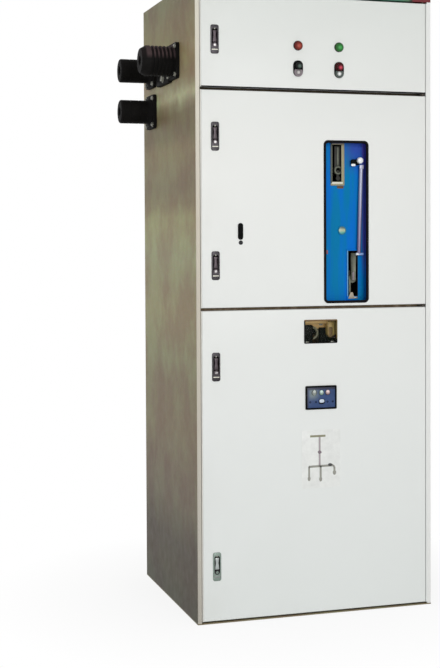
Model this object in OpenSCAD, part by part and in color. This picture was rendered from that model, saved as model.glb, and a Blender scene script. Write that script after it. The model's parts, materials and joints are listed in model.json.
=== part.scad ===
// Ring main unit: a free-standing medium-voltage switch cubicle of folded sheet metal,
// with an instrument door, a mechanism door and a cable door hinged on the right.
// Millimetres. +X runs right along the front, +Y to the back, +Z up.
// The origin is the centre of the footprint, on the floor.

/* [Cabinet] */
// Width over the side panels
cabinet_w = 850; // [700:1:1100]
// Depth from the door faces to the rear covers
cabinet_d = 750; // [620:1:1000]
// Thickness of folded panels, doors and covers
sheet_t = 2; // [1.5:0.1:3]
// Thickness of the floor plate
floor_t = 4; // [3:0.5:8]
// Width of the side panel's edge that shows beside the doors
edge_w = 14; // [10:1:30]
// Depth of the fold that lines the door opening
jamb_depth = 30; // [20:1:40]
// Width of the fold along the rear of a side panel
rear_fold_w = 25; // [18:1:40]
// Outside radius of a folded edge
fold_r = 3; // [2:0.5:5]
// Height of the crossbars behind the doors
crossbar_h = 40; // [30:1:60]
// Depth of the crossbars behind the doors
crossbar_depth = 30; // [20:1:50]
// Gap between the two rear covers
rear_gap = 4; // [2:0.5:10]
// Width of the relief vent in the top cover
vent_w = 360; // [200:1:500]
// Depth of the relief vent in the top cover
vent_d = 240; // [120:1:260]
// Distance of the relief vent from the back
vent_inset = 80; // [40:1:100]
// Lap of the relief flap round its vent
flap_lap = 20; // [12:1:30]

/* [Doors] */
// Height of the cable door at the bottom
lower_door_h = 1040; // [850:1:1300]
// Height of the mechanism door in the middle
middle_door_h = 725; // [660:1:900]
// Height of the instrument door at the top
top_door_h = 311; // [255:1:420]
// Depth of a folded door
door_depth = 25; // [20:1:30]
// Gap between a door and the side panel's edge
door_side_gap = 5.5; // [5.2:0.1:8]
// Gap between two doors, one above the other
door_seam = 10; // [9:0.5:16]
// Gap over the top door and under the bottom door
door_end_gap = 5; // [5:0.5:10]

/* [Header] */
// Height of the header plate over the doors
header_h = 90; // [60:1:140]
// Part of the header that stands above the top cover
header_rise = 50; // [20:1:80]

/* [Hinges] */
// Radius of a hinge pin
pin_r = 3; // [2.5:0.1:4]
// Running clearance round a hinge pin
pin_fit = 0.05; // [0.02:0.01:0.1]
// Distance of the pin from the door's hinged edge
pin_inset = 9.5; // [8:0.5:14]
// Length of the pin inside the door
pin_reach = 10; // [8:1:16]
// Clearance between a hinge pin and the door's face
pin_clear = 0.5; // [0.3:0.1:1]
// Clearance behind a door's far edge as it turns
swing_clear = 6; // [5.5:0.1:10]
// Thickness of the bracket between two doors
bracket_t = 4; // [3:0.5:5]
// Width of the bracket between two doors
bracket_w = 18; // [14:1:24]
// Wall of the bracket's eye round the pin
eye_wall = 2.4; // [1.5:0.1:2.5]

/* [Locks] */
// Width of a flush lock
lock_w = 28; // [24:1:34]
// Height of a flush lock
lock_h = 96; // [80:1:115]
// Distance of the lock from the door's free edge
lock_inset = 47.5; // [36:0.5:70]
// Height of the top door's lock above the door's bottom
top_lock_up = 157; // [60:1:250]
// Height of the middle door's upper lock above the door's bottom
middle_upper_lock_up = 571; // [450:1:600]
// Height of the middle door's lower lock above the door's bottom
middle_lower_lock_up = 141; // [70:1:250]
// Height of the lower door's upper lock above the door's bottom
lower_upper_lock_up = 853; // [550:1:950]
// Height of the lower door's lower lock above the door's bottom
lower_lower_lock_up = 183; // [70:1:400]
// Depth of the lock behind the door's face
lock_depth = 20; // [14:1:22]
// Height of the lock's rim above the door's face
lock_rim = 3; // [2:0.5:5]
// Depth of the lever's recess behind the door's face
lock_recess = 9; // [6:0.5:12]
// Clearance of a lock in its hole
lock_fit = 0.5; // [0.3:0.1:1]
// Distance of the small latch from the mechanism door's free edge
latch_inset = 134.5; // [90:0.5:200]
// Height of the small latch above the mechanism door's bottom
latch_up = 255; // [150:1:400]
// Width of the small latch
latch_w = 20; // [16:1:26]
// Height of the small latch
latch_h = 56; // [46:1:70]

/* [Signals] */
// Distance between the two columns of lamps and buttons
signal_spacing = 148; // [100:1:200]
// Shift of the signals from the door's middle
signal_x = 8.5; // [-60:0.5:60]
// Height of the lamps above the top door's bottom
lamp_up = 147; // [130:1:230]
// Height of the push-button stations above the top door's bottom
station_up = 70; // [40:1:90]
// Radius of a lamp's bezel
lamp_r = 16.5; // [12:0.5:18]
// Thickness of a lamp's bezel
lamp_t = 4; // [3:0.5:6]
// Radius of the hole in the door for a lamp or a button
signal_hole_r = 11.25; // [10.5:0.05:11.75]
// Clearance of a lamp's or a station's body in its hole
signal_fit = 0.25; // [0.1:0.05:0.5]
// Depth of a lamp's or a station's body behind the door's face
signal_depth = 45; // [30:1:60]
// Width of a push-button station
station_w = 34; // [30:1:40]
// Height of a push-button station
station_h = 54; // [46:1:64]
// Thickness of a push-button station
station_t = 5; // [3:0.5:8]
// Height of the button above the station's middle
button_rise = 9; // [7:0.5:12]
// Height of the station's lens above its foot
lens_up = 13; // [11:0.5:15]
// Radius of the station's lens
lens_r = 8; // [6:0.5:9]
// Radius of a push button
button_r = 11; // [9:0.5:13]
// Thickness of a push button's cap
cap_t = 4.5; // [3:0.5:7]
// Travel of a push button
button_travel = 4; // [3:0.5:5]
// Depth of a push button's bore behind the door's face
button_depth = 14; // [12:1:30]
// Sliding clearance round a push button
button_fit = 0.4; // [0.3:0.05:0.6]

/* [Operating panel] */
// Width of the opening in the mechanism door
panel_w = 165; // [130:1:220]
// Height of the opening in the mechanism door
panel_h = 557; // [440:1:640]
// Shift of the opening from the door's middle
panel_x = 108.5; // [60:0.5:160]
// Height of the opening's foot above the mechanism door's bottom
panel_up = 8.5; // [8:0.5:60]
// Corner radius of the opening
panel_r = 16; // [8:1:30]
// Depth of the blue panel's face behind the door's face
panel_recess = 36; // [34:1:45]
// Width of the rubber edging round the opening
edging_w = 9; // [6:0.5:14]
// Width of the upper operating slot
upper_slot_w = 34; // [32:1:38]
// Height of the upper operating slot
upper_slot_h = 128; // [118:1:150]
// Distance of the upper slot's top below the opening's top
upper_slot_drop = 12; // [12:0.5:40]
// Distance of the upper slot from the opening's left side
upper_slot_inset = 44; // [30:0.5:46]
// Width of the lower operating slot
lower_slot_w = 36; // [32:1:40]
// Height of the lower operating slot
lower_slot_h = 158; // [154:1:190]
// Distance of the lower slot's foot above the opening's foot
lower_slot_up = 21.5; // [18:0.5:50]
// Distance of the lower slot from the opening's right side
lower_slot_inset = 27; // [25:0.5:45]
// Thickness of a slot's frame
slot_frame_t = 3; // [2:0.5:5]
// Depth of the levers' faces behind the panel's face
lever_gap = 8; // [8:1:40]
// Radius of the socket that takes the operating handle
socket_r = 8; // [6:0.5:9]
// Distance of the interlock knob below the opening's top
knob_drop = 66.5; // [50:0.5:90]
// Distance of the interlock knob from the opening's right side
knob_inset = 23; // [20:0.5:32]
// Radius of the interlock knob
knob_r = 12; // [10:0.5:14]
// Radius of the interlock rod
rod_r = 6.5; // [4:0.5:8]
// Distance of the rod's top below the knob
rod_drop = 22; // [20:0.5:30]
// Distance of the rod's foot above the opening's foot
rod_foot_up = 167.5; // [120:0.5:200]
// Radius of the position indicator
indicator_r = 15; // [10:0.5:18]

/* [Cable door fittings] */
// Shift of the fittings from the door's middle
fittings_x = 14; // [-60:1:60]
// Height of the viewing window above the door's bottom
window_up = 963; // [700:1:985]
// Height of the voltage display above the door's bottom
display_up = 737; // [500:1:840]
// Height of the mimic plate above the door's bottom
mimic_up = 527; // [200:1:560]
// Width of the viewing window
window_w = 121; // [80:1:180]
// Height of the viewing window
window_h = 81; // [60:1:120]
// Width of the voltage display
display_w = 113; // [90:1:140]
// Height of the voltage display
display_h = 81; // [60:1:110]
// Width of the mimic plate
mimic_w = 140; // [100:1:180]
// Height of the mimic plate
mimic_h = 199; // [150:1:240]

/* [Bushings] */
// Side of a bushing's square flange
flange_side = 124; // [110:1:140]
// Thickness of a bushing's flange
flange_t = 12; // [8:1:18]
// Corner radius of a bushing's flange
flange_r = 14; // [6:1:20]
// Reach of a bushing inside the panel
bushing_stub = 40; // [20:1:60]
// Reach of a bushing outside the panel
bushing_reach = 126; // [100:1:170]
// Radius of the rear bushings
bushing_r = 43; // [36:0.5:48]
// Radius over the ribs of the front bushing
ribbed_r = 53; // [49:0.5:58]
// Height of the front bushing above the top door's bottom
front_bushing_up = 112; // [70:1:200]
// Height of the rear upper bushing above the top door's bottom
rear_bushing_up = 116; // [100:1:200]
// Distance between the two rear bushings
bushing_gap = 150; // [142:1:200]
// Radius of the hole for the busbar
busbar_bore_r = 15; // [10:0.5:20]
// Distance of the front bushing from the door faces
front_bushing_y = 267; // [200:1:290]
// Distance of the rear bushings from the rear covers
rear_bushing_y = 145; // [100:1:170]

/* [Inside] */
// Distance of the inner partition from the door faces
partition_inset = 210; // [190:1:212]
// Distance between the phases
phase_gap = 210; // [180:1:230]
// Shift of the middle phase from the cabinet's middle
phase_x = 40; // [-60:1:60]
// Distance of the insulators from the door faces
insulator_inset = 175; // [150:1:240]
// Radius of an insulator's sheds
insulator_r = 30; // [24:1:40]
// Height of an insulator
insulator_h = 100; // [80:1:160]
// Thickness of the copper bars
bar_t = 6; // [4:1:10]
// Width of the copper bars
bar_w = 40; // [30:1:50]
// Length of the hanging cable bars
bar_drop = 250; // [150:1:400]
// Height of the earth bar above the floor
earth_bar_up = 150; // [80:1:300]

/* [Floor] */
// Width of the cable entry in the floor plate
cable_entry_w = 500; // [300:1:560]
// Depth of the cable entry in the floor plate
cable_entry_d = 220; // [150:1:270]
// Distance of the anchor holes from the side panels' outside
anchor_inset_x = 60; // [50:1:100]
// Distance of the anchor holes from the front and back
anchor_inset_y = 60; // [50:1:100]
// Radius of an anchor hole
anchor_r = 7; // [5:0.5:9]

/* [Hidden] */
$fn = 48;

// Levels, from the floor up
lower_z0 = floor_t + door_end_gap;
lower_z1 = lower_z0 + lower_door_h;
middle_z0 = lower_z1 + door_seam;
middle_z1 = middle_z0 + middle_door_h;
top_z0 = middle_z1 + door_seam;
top_z1 = top_z0 + top_door_h;
header_z0 = top_z1 + door_end_gap;
header_z1 = header_z0 + header_h;
cabinet_h = header_z1 - header_rise;
cover_z = cabinet_h - sheet_t;
lower_seam_z = lower_z1 + door_seam / 2;
upper_seam_z = middle_z1 + door_seam / 2;

// Planes across and along
half_w = cabinet_w / 2;
front_y = -cabinet_d / 2;
header_back_y = front_y + sheet_t;
back_y = cabinet_d / 2;
inside_x = half_w - sheet_t;
opening_x = half_w - edge_w;
door_x = opening_x - door_side_gap;
door_back_y = front_y + door_depth;
door_inner_y = front_y + sheet_t;
rear_inner_y = back_y - sheet_t;
vent_y1 = back_y - vent_inset;
header_x = opening_x - 1;

// Hinge axis
hinge_x = door_x - pin_inset;
hinge_y = door_inner_y + pin_r + pin_clear;
// A door's far edge turns this far behind the hinge axis
door_swing_r = norm([pin_inset, door_back_y - hinge_y]);
// The crossbars stand behind that sweep and behind the lining of the door opening
frame_y = max(hinge_y + door_swing_r + swing_clear, front_y + jamb_depth);
lower_bar_top = middle_z0;
upper_bar_top = top_z0;

// Inner walls and the cable entry, which lies under the cable bars
entry_y0 = front_y + 90;
partition_y = front_y + partition_inset;
// Overshoot of a cut past the surface that it opens
cuts = 1;

// Operating panel: edges of the opening and of the tray behind it
panel_z = middle_z0 + panel_up + panel_h / 2;
panel_left = panel_x - panel_w / 2;
panel_right = panel_x + panel_w / 2;
panel_foot = panel_z - panel_h / 2;
panel_top = panel_z + panel_h / 2;
panel_margin = 1;
panel_face_y = front_y + panel_recess;
panel_rim_y = door_inner_y + 7;
// Operating slots: left edge, foot, width and height
upper_slot = [panel_left + upper_slot_inset, panel_top - upper_slot_drop - upper_slot_h,
  upper_slot_w, upper_slot_h];
lower_slot = [panel_right - lower_slot_inset - lower_slot_w, panel_foot + lower_slot_up,
  lower_slot_w, lower_slot_h];
indicator_x = panel_x - 2.5;
indicator_z = panel_z - 29;
knob_x = panel_right - knob_inset;
knob_z = panel_top - knob_drop;
rod_top = [knob_x + 8, knob_z - rod_drop];
rod_foot = [rod_top[0] - 12, panel_foot + rod_foot_up];
crank_y = panel_face_y + lever_gap;

// Heights of fittings on the doors
lamp_z = top_z0 + lamp_up;
station_z = top_z0 + station_up;
button_z = station_z + button_rise;
top_lock_z = top_z0 + top_lock_up;
middle_locks_z = [middle_z0 + middle_upper_lock_up, middle_z0 + middle_lower_lock_up];
lower_locks_z = [lower_z0 + lower_upper_lock_up, lower_z0 + lower_lower_lock_up];
latch_x = -door_x + latch_inset;
latch_z = middle_z0 + latch_up;
window_z = lower_z0 + window_up;
display_z = lower_z0 + display_up;
mimic_z = lower_z0 + mimic_up;

// Bushings, as distance along Y and height
front_place = [front_y + front_bushing_y, top_z0 + front_bushing_up];
rear_upper_place = [back_y - rear_bushing_y, top_z0 + rear_bushing_up];
rear_lower_place = [back_y - rear_bushing_y, rear_upper_place[1] - bushing_gap];
panel_hole_r = bushing_r + 1;

// Cable compartment
insulator_y = front_y + insulator_inset;
roof_z = lower_bar_top - sheet_t;

module box(x0, x1, y0, y1, z0, z1) {
  translate([x0, y0, z0]) cube([x1 - x0, y1 - y0, z1 - z0]);
}

// Flat outline with round corners, centred
module round_rect(w, h, r) {
  square([w - 2 * r, h], center = true);
  square([w, h - 2 * r], center = true);
  for (x = [-1, 1], z = [-1, 1]) translate([x * (w / 2 - r), z * (h / 2 - r)]) circle(r);
}

// Round-cornered slab that stands upright, facing -Y
module upright_slab(x, z, w, h, r, y0, y1) {
  translate([x, y1, z]) rotate([90, 0, 0]) linear_extrude(y1 - y0) round_rect(w, h, r);
}

module y_cylinder(x, z, r, y0, y1) {
  translate([x, y1, z]) rotate([90, 0, 0]) cylinder(h = y1 - y0, r = r);
}

// Left side panel seen from above: outer wall, front edge, lining of the door opening, rear fold
module side_outline() {
  translate([-half_w, front_y + fold_r]) square([sheet_t, cabinet_d - fold_r - sheet_t]);
  translate([-half_w + fold_r, front_y]) square([edge_w - fold_r, sheet_t]);
  difference() {
    translate([-half_w + fold_r, front_y + fold_r]) circle(fold_r);
    translate([-half_w + fold_r, front_y + fold_r]) circle(fold_r - sheet_t);
    translate([-half_w + fold_r, front_y - cuts]) square([fold_r + cuts, 2 * fold_r + 2 * cuts]);
    translate([-half_w - cuts, front_y + fold_r]) square([2 * fold_r + cuts, fold_r + cuts]);
  }
  translate([-opening_x - sheet_t, front_y]) square([sheet_t, jamb_depth]);
  translate([-half_w, rear_inner_y - sheet_t]) square([rear_fold_w, sheet_t]);
}

// The header's face lies in front of the panel's upper end
module side_panel() {
  difference() {
    translate([0, 0, floor_t]) linear_extrude(cover_z - floor_t) side_outline();
    box(-half_w - cuts, -opening_x + cuts, front_y - cuts, header_back_y, header_z0, cover_z + cuts);
  }
}

module x_cylinder(y, z, r, x0, x1) {
  translate([x0, y, z]) rotate([0, 90, 0]) cylinder(h = x1 - x0, r = r);
}

module floor_plate() {
  color([0.55, 0.54, 0.48]) difference() {
    box(-half_w, half_w, front_y, back_y, 0, floor_t);
    for (x = [-1, 1], y = [-1, 1])
      translate([x * (half_w - anchor_inset_x), y * (cabinet_d / 2 - anchor_inset_y), -cuts])
        cylinder(h = floor_t + 2 * cuts, r = anchor_r);
    box(-cable_entry_w / 2, cable_entry_w / 2, entry_y0, entry_y0 + cable_entry_d, -cuts, floor_t + cuts);
  }
}

module left_side_panel() {
  color([0.56, 0.53, 0.44]) difference() {
    side_panel();
    for (b = [front_place, rear_upper_place, rear_lower_place])
      x_cylinder(b[0], b[1], panel_hole_r, -half_w - cuts, -inside_x + cuts);
  }
}

module right_side_panel() {
  color([0.56, 0.53, 0.44]) mirror([1, 0, 0]) side_panel();
}

module top_cover() {
  color([0.56, 0.53, 0.44]) difference() {
    box(-half_w, half_w, header_back_y, back_y, cover_z, cabinet_h);
    box(-opening_x, opening_x, front_y - cuts, frame_y, cover_z - cuts, cabinet_h + cuts);
    box(-vent_w / 2, vent_w / 2, vent_y1 - vent_d, vent_y1, cover_z - cuts, cabinet_h + cuts);
  }
}

module relief_flap() {
  color([0.6, 0.58, 0.5])
    box(-vent_w / 2 - flap_lap, vent_w / 2 + flap_lap, vent_y1 - vent_d - flap_lap, vent_y1 + flap_lap,
      cabinet_h, cabinet_h + sheet_t);
}

module rear_upper_cover() {
  color([0.56, 0.53, 0.44]) box(-half_w, half_w, rear_inner_y, back_y,
    lower_seam_z + rear_gap / 2, cover_z);
}

module rear_lower_cover() {
  color([0.56, 0.53, 0.44]) box(-half_w, half_w, rear_inner_y, back_y,
    floor_t, lower_seam_z - rear_gap / 2);
}

// Tray between the side panels, with a face as wide as the cabinet
module header_plate() {
  color([0.1, 0.45, 0.36]) difference() {
    union() {
      box(-header_x, header_x, front_y, frame_y, header_z0, header_z1);
      box(-half_w, half_w, front_y, header_back_y, header_z0, header_z1);
    }
    box(-header_x + sheet_t, header_x - sheet_t, header_back_y, frame_y + cuts,
      header_z0 + sheet_t, header_z1 - sheet_t);
  }
}

// Channel between the side panels, open to the back
module crossbar(top_z) {
  difference() {
    box(-inside_x, inside_x, frame_y, frame_y + crossbar_depth, top_z - crossbar_h, top_z);
    box(-inside_x - cuts, inside_x + cuts, frame_y + sheet_t, frame_y + crossbar_depth + cuts,
      top_z - crossbar_h + sheet_t, top_z - sheet_t);
  }
}

module head_rail() {
  color([0.56, 0.53, 0.44]) crossbar(cover_z);
}

module upper_crossbar() {
  color([0.56, 0.53, 0.44]) crossbar(upper_bar_top);
}

module lower_crossbar() {
  color([0.56, 0.53, 0.44]) crossbar(lower_bar_top);
}

module pin(z0, z1) {
  translate([hinge_x, hinge_y, z0]) cylinder(h = z1 - z0, r = pin_r);
}

// Bracket in a seam, with a pin up into one door and down into the other
module seam_hinge(z) {
  box(hinge_x - bracket_w / 2, hinge_x + bracket_w / 2, hinge_y, frame_y,
    z - bracket_t / 2, z + bracket_t / 2);
  translate([hinge_x, hinge_y, z - bracket_t / 2]) cylinder(h = bracket_t, r = pin_r + eye_wall);
  pin(z - door_seam / 2 - pin_reach, z + door_seam / 2 + pin_reach);
}

module hinge_pins() {
  color([0.6, 0.6, 0.6]) {
    pin(floor_t, lower_z0 + pin_reach);
    seam_hinge(lower_seam_z);
    seam_hinge(upper_seam_z);
    pin(top_z1 - pin_reach, header_z0);
  }
}

module inner_partition() {
  color([0.62, 0.61, 0.56])
    box(-inside_x, inside_x, partition_y, partition_y + sheet_t, lower_bar_top, cover_z);
}

module instrument_shelf() {
  color([0.62, 0.61, 0.56]) box(-inside_x, inside_x, frame_y + crossbar_depth, partition_y,
    upper_bar_top - sheet_t, upper_bar_top);
}

module cable_compartment_roof() {
  color([0.62, 0.61, 0.56]) box(-inside_x, inside_x, frame_y + crossbar_depth, rear_inner_y - sheet_t,
    roof_z, lower_bar_top);
}

// Box behind the tray, open towards it
module mechanism_housing() {
  x0 = panel_left - panel_margin;
  x1 = panel_right + panel_margin;
  z0 = panel_foot - panel_margin;
  z1 = panel_top + panel_margin;
  color([0.6, 0.6, 0.57]) difference() {
    box(x0, x1, panel_face_y + sheet_t, partition_y, z0, z1);
    box(x0 + sheet_t, x1 - sheet_t, panel_face_y, partition_y - sheet_t, z0 + sheet_t, z1 - sheet_t);
  }
}

module slot_hole(s) {
  box(s[0], s[0] + s[2], panel_face_y - cuts, panel_face_y + sheet_t + cuts, s[1], s[1] + s[3]);
}

// Blue tray: a face set back behind the door, with a wall all round that reaches towards it
module operating_panel() {
  tray_w = panel_w + 2 * panel_margin;
  tray_h = panel_h + 2 * panel_margin;
  tray_r = panel_r + panel_margin;
  color([0.0, 0.42, 0.73]) difference() {
    upright_slab(panel_x, panel_z, tray_w, tray_h, tray_r, panel_rim_y, panel_face_y + sheet_t);
    upright_slab(panel_x, panel_z, tray_w - 2 * sheet_t, tray_h - 2 * sheet_t, tray_r - sheet_t,
      panel_rim_y - cuts, panel_face_y);
    slot_hole(upper_slot);
    slot_hole(lower_slot);
  }
}

// Frame round a slot, with its own width on each side
module slot_frame(s, left, right, foot, head) {
  difference() {
    box(s[0] - left, s[0] + s[2] + right, panel_face_y - slot_frame_t, panel_face_y,
      s[1] - foot, s[1] + s[3] + head);
    box(s[0], s[0] + s[2], panel_face_y - slot_frame_t - cuts, panel_face_y + cuts, s[1], s[1] + s[3]);
  }
}

module upper_slot_frame() {
  color([0.8, 0.76, 0.62]) slot_frame(upper_slot, left = 8, right = 16, foot = 13, head = 5);
}

module lower_slot_frame() {
  color([0.8, 0.8, 0.75]) slot_frame(lower_slot, left = 9, right = 4, foot = 13, head = 5);
}

// Lever behind the upper slot: a socket for the operating handle on a shaft that runs back
// to the mechanism, with a blade above it and a link below it
module upper_crank() {
  x = upper_slot[0] + upper_slot[2] / 2 + 8;
  shaft_z = upper_slot[1] + 40;
  link_z = shaft_z - 28;
  collar_y = crank_y + 18;
  color([0.15, 0.15, 0.16]) difference() {
    union() {
      y_cylinder(x, shaft_z, socket_r + 7, crank_y - 4, collar_y);
      y_cylinder(x, shaft_z, 11, collar_y, partition_y - sheet_t);
      box(x - 13, x + 13, crank_y, crank_y + 6, shaft_z + 8, shaft_z + 84);
      box(x - 5, x + 5, crank_y, crank_y + 6, link_z, shaft_z);
      y_cylinder(x, link_z, 8, crank_y - 2, crank_y + 8);
    }
    y_cylinder(x, shaft_z, socket_r, crank_y - 4 - cuts, collar_y - 4);
  }
}

// Lever behind the lower slot, wider towards its end, with a link down to the slot's foot
module lower_crank() {
  x = lower_slot[0] + lower_slot[2] / 2 + 3;
  shaft_z = lower_slot[1] + 60;
  lever_t = 12;
  color([0.5, 0.5, 0.44]) {
    y_cylinder(x, shaft_z, 14, crank_y + 4, partition_y - sheet_t);
    translate([x, crank_y + 8, shaft_z]) rotate([90, 0, 0]) linear_extrude(lever_t)
      polygon([[-8, -5], [8, -5], [10, 90], [-10, 90]]);
    box(x - 14, x - 7, crank_y, crank_y + 6, lower_slot[1] + 2, shaft_z);
  }
}

// Knob on a short spindle, with an arm that reaches towards the upper slot
module interlock_knob() {
  spindle_r = 8;
  arm = [33, 22, 6];
  color([0.1, 0.1, 0.11]) {
    y_cylinder(knob_x, knob_z, spindle_r, panel_face_y - 10, panel_face_y);
    box(knob_x - arm[0], knob_x, panel_face_y - 8 - arm[2], panel_face_y - 8,
      knob_z + 4 - arm[1], knob_z + 4);
    y_cylinder(knob_x, knob_z, knob_r, panel_face_y - 25, panel_face_y - 10);
  }
}

// Leaning rod with a cross-piece at its foot, held off the panel by a lug
module interlock_rod() {
  y = panel_face_y - rod_r - 4;
  lean = atan2(rod_top[0] - rod_foot[0], rod_top[1] - rod_foot[1]);
  cross_half = 5;
  color([0.82, 0.82, 0.85]) {
    translate([rod_foot[0], y, rod_foot[1]]) rotate([0, lean, 0])
      cylinder(h = norm(rod_top - rod_foot), r = rod_r);
    box(rod_foot[0] - 14, rod_foot[0] + 18, y - cross_half, y + cross_half,
      rod_foot[1] - cross_half, rod_foot[1] + cross_half);
    box(rod_foot[0] + 8, rod_foot[0] + 14, y, panel_face_y,
      rod_foot[1] - cross_half, rod_foot[1] + cross_half);
  }
}

module position_indicator() {
  color([0.85, 0.8, 0.55]) y_cylinder(indicator_x, indicator_z, indicator_r, panel_face_y - 4, panel_face_y);
}

// Half outline of a bushing, x = radius, y = distance out from the panel
module smooth_bushing_outline() {
  collar_r = flange_side / 2 - 4;
  neck_y = flange_t + 12;
  tip = 3;
  polygon([
    [busbar_bore_r, -bushing_stub], [bushing_r - 2, -bushing_stub], [bushing_r - 2, 0], [collar_r, 0],
    [collar_r, flange_t], [bushing_r, neck_y],
    [bushing_r, bushing_reach - tip], [bushing_r - tip, bushing_reach], [busbar_bore_r, bushing_reach]
  ]);
}

// The same with a cone at its end and grooves that leave ribs
module ribbed_bushing_outline() {
  grooves = 6;
  groove_depth = 4;
  groove_y0 = flange_t + 6;
  cone = 22;
  pitch = (bushing_reach - cone - 4 - groove_y0) / grooves;
  difference() {
    polygon([
      [busbar_bore_r, -bushing_stub], [bushing_r - 2, -bushing_stub], [bushing_r - 2, 0], [ribbed_r, 0],
      [ribbed_r, bushing_reach - cone], [bushing_r - 2, bushing_reach], [busbar_bore_r, bushing_reach]
    ]);
    for (i = [0:grooves - 1])
      translate([ribbed_r - groove_depth, groove_y0 + i * pitch]) square([groove_depth + cuts, pitch * 0.45]);
  }
}

// Bushing on the left side panel; its square flange is bolted at four corners
module bushing(place, ribbed) {
  bolt = flange_side / 2 - 14;
  head_t = 6;
  head_r = 8;
  color([0.09, 0.09, 0.1]) translate([-half_w, place[0], place[1]]) rotate([0, -90, 0]) {
    difference() {
      union() {
        linear_extrude(flange_t) round_rect(flange_side, flange_side, flange_r);
        rotate_extrude() if (ribbed) ribbed_bushing_outline(); else smooth_bushing_outline();
        for (x = [-1, 1], y = [-1, 1])
          translate([x * bolt, y * bolt, flange_t]) cylinder(h = head_t, r = head_r, $fn = 6);
      }
      translate([0, 0, -cuts]) cylinder(h = flange_t + 2 * cuts, r = busbar_bore_r);
    }
  }
}

module front_bushing() {
  bushing(front_place, true);
}

module rear_upper_bushing() {
  bushing(rear_upper_place, false);
}

module rear_lower_bushing() {
  bushing(rear_lower_place, false);
}

// Ribbed insulators that hang from the compartment's roof, one a phase
module post_insulators() {
  sheds = 4;
  shed_reach = 7;
  pitch = insulator_h / sheds;
  color([0.12, 0.1, 0.1]) for (i = [-1:1])
    translate([phase_x + i * phase_gap, insulator_y, roof_z - insulator_h]) rotate_extrude()
      union() {
        square([insulator_r - shed_reach, insulator_h]);
        for (k = [0:sheds - 1]) translate([0, k * pitch + 4]) square([insulator_r, pitch * 0.4]);
      }
}

// Angled bars under the insulators, which hang down to the cables
module cable_bars() {
  y0 = insulator_y - 40;
  y1 = insulator_y + 25;
  top = roof_z - insulator_h;
  color([0.72, 0.45, 0.2]) for (i = [-1:1]) {
    x = phase_x + i * phase_gap;
    box(x - bar_w / 2, x + bar_w / 2, y0, y1, top - bar_t, top);
    box(x - bar_w / 2, x + bar_w / 2, y0, y0 + bar_t, top - bar_drop, top - bar_t);
  }
}

// Bar across behind the viewing window, hung from the roof by a lug at each end
module contact_bar() {
  y = frame_y + crossbar_depth + 6;
  reach = phase_gap + 60;
  lug_w = 20;
  foot = roof_z - 2 * bar_w;
  color([0.78, 0.55, 0.2]) {
    box(phase_x - reach, phase_x + reach, y, y + bar_t, foot, foot + bar_w);
    for (x = [phase_x - reach, phase_x + reach - lug_w])
      box(x, x + lug_w, y + bar_t, y + 2 * bar_t, foot, roof_z);
  }
}

module earth_bar() {
  y = rear_inner_y - sheet_t - 60;
  color([0.75, 0.5, 0.25]) box(-inside_x, inside_x, y, y + bar_t, earth_bar_up, earth_bar_up + bar_w);
}

// Folded door seen from above: a face with round edges and a fold back on each side
module door_outline() {
  difference() {
    union() {
      translate([-door_x, front_y + fold_r]) square([2 * door_x, door_depth - fold_r]);
      translate([-door_x + fold_r, front_y]) square([2 * (door_x - fold_r), fold_r]);
      for (x = [-1, 1]) translate([x * (door_x - fold_r), front_y + fold_r]) circle(fold_r);
    }
    translate([-door_x + sheet_t, door_inner_y]) square([2 * (door_x - sheet_t), door_depth]);
  }
}

module pin_hole(z) {
  translate([hinge_x, hinge_y, z - cuts]) cylinder(h = sheet_t + 2 * cuts, r = pin_r + pin_fit);
}

module door_shell(z0, z1) {
  difference() {
    union() {
      translate([0, 0, z0]) linear_extrude(z1 - z0) door_outline();
      for (z = [z0, z1 - sheet_t])
        box(-door_x + sheet_t, door_x - sheet_t, door_inner_y, door_back_y, z, z + sheet_t);
    }
    pin_hole(z0);
    pin_hole(z1 - sheet_t);
  }
}

// The lock's body is smaller than its rim by this much all round
lock_step = 2;
module lock_hole(z) {
  w = lock_w - 2 * lock_step + 2 * lock_fit;
  h = lock_h - 2 * lock_step + 2 * lock_fit;
  upright_slab(-door_x + lock_inset, z, w, h, 4, front_y - cuts, door_inner_y + cuts);
}

// Flush lock: a rim on the door, a body through it, a sunken lever and a round key button
module flush_lock(z) {
  x = -door_x + lock_inset;
  proud_y = front_y - lock_rim - 1;
  recess_y = front_y + lock_recess;
  color([0.55, 0.56, 0.58]) {
    difference() {
      union() {
        upright_slab(x, z, lock_w, lock_h, 5, front_y - lock_rim, front_y);
        upright_slab(x, z, lock_w - 2 * lock_step, lock_h - 2 * lock_step, 4, front_y, front_y + lock_depth);
      }
      upright_slab(x, z, lock_w - 9, lock_h - 26, 3, front_y - lock_rim - cuts, recess_y);
    }
    upright_slab(x, z + 12, lock_w - 14, lock_h - 46, 4, proud_y, recess_y);
    y_cylinder(x, z - lock_h / 2 + 24, 7, proud_y, recess_y);
  }
}

module signal_hole(x, z, r) {
  y_cylinder(x, z, r, front_y - cuts, door_inner_y + cuts);
}

module top_door() {
  color([0.88, 0.89, 0.87]) difference() {
    door_shell(top_z0, top_z1);
    lock_hole(top_lock_z);
    for (s = [-1, 1]) {
      signal_hole(signal_x + s * signal_spacing / 2, lamp_z, signal_hole_r);
      signal_hole(signal_x + s * signal_spacing / 2, button_z, signal_hole_r);
    }
  }
}

module top_door_lock() {
  flush_lock(top_lock_z);
}

// Lamp: a bezel, a domed lens and a threaded body behind the door
module lamp(side, tint) {
  x = signal_x + side * signal_spacing / 2;
  color(tint) {
    y_cylinder(x, lamp_z, lamp_r, front_y - lamp_t, front_y);
    y_cylinder(x, lamp_z, signal_hole_r - signal_fit, front_y, front_y + signal_depth);
    intersection() {
      translate([x, front_y + lamp_r / 5, lamp_z]) sphere(r = lamp_r);
      y_cylinder(x, lamp_z, lamp_r - 2, front_y - lamp_r, front_y - lamp_t / 2);
    }
  }
}

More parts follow.
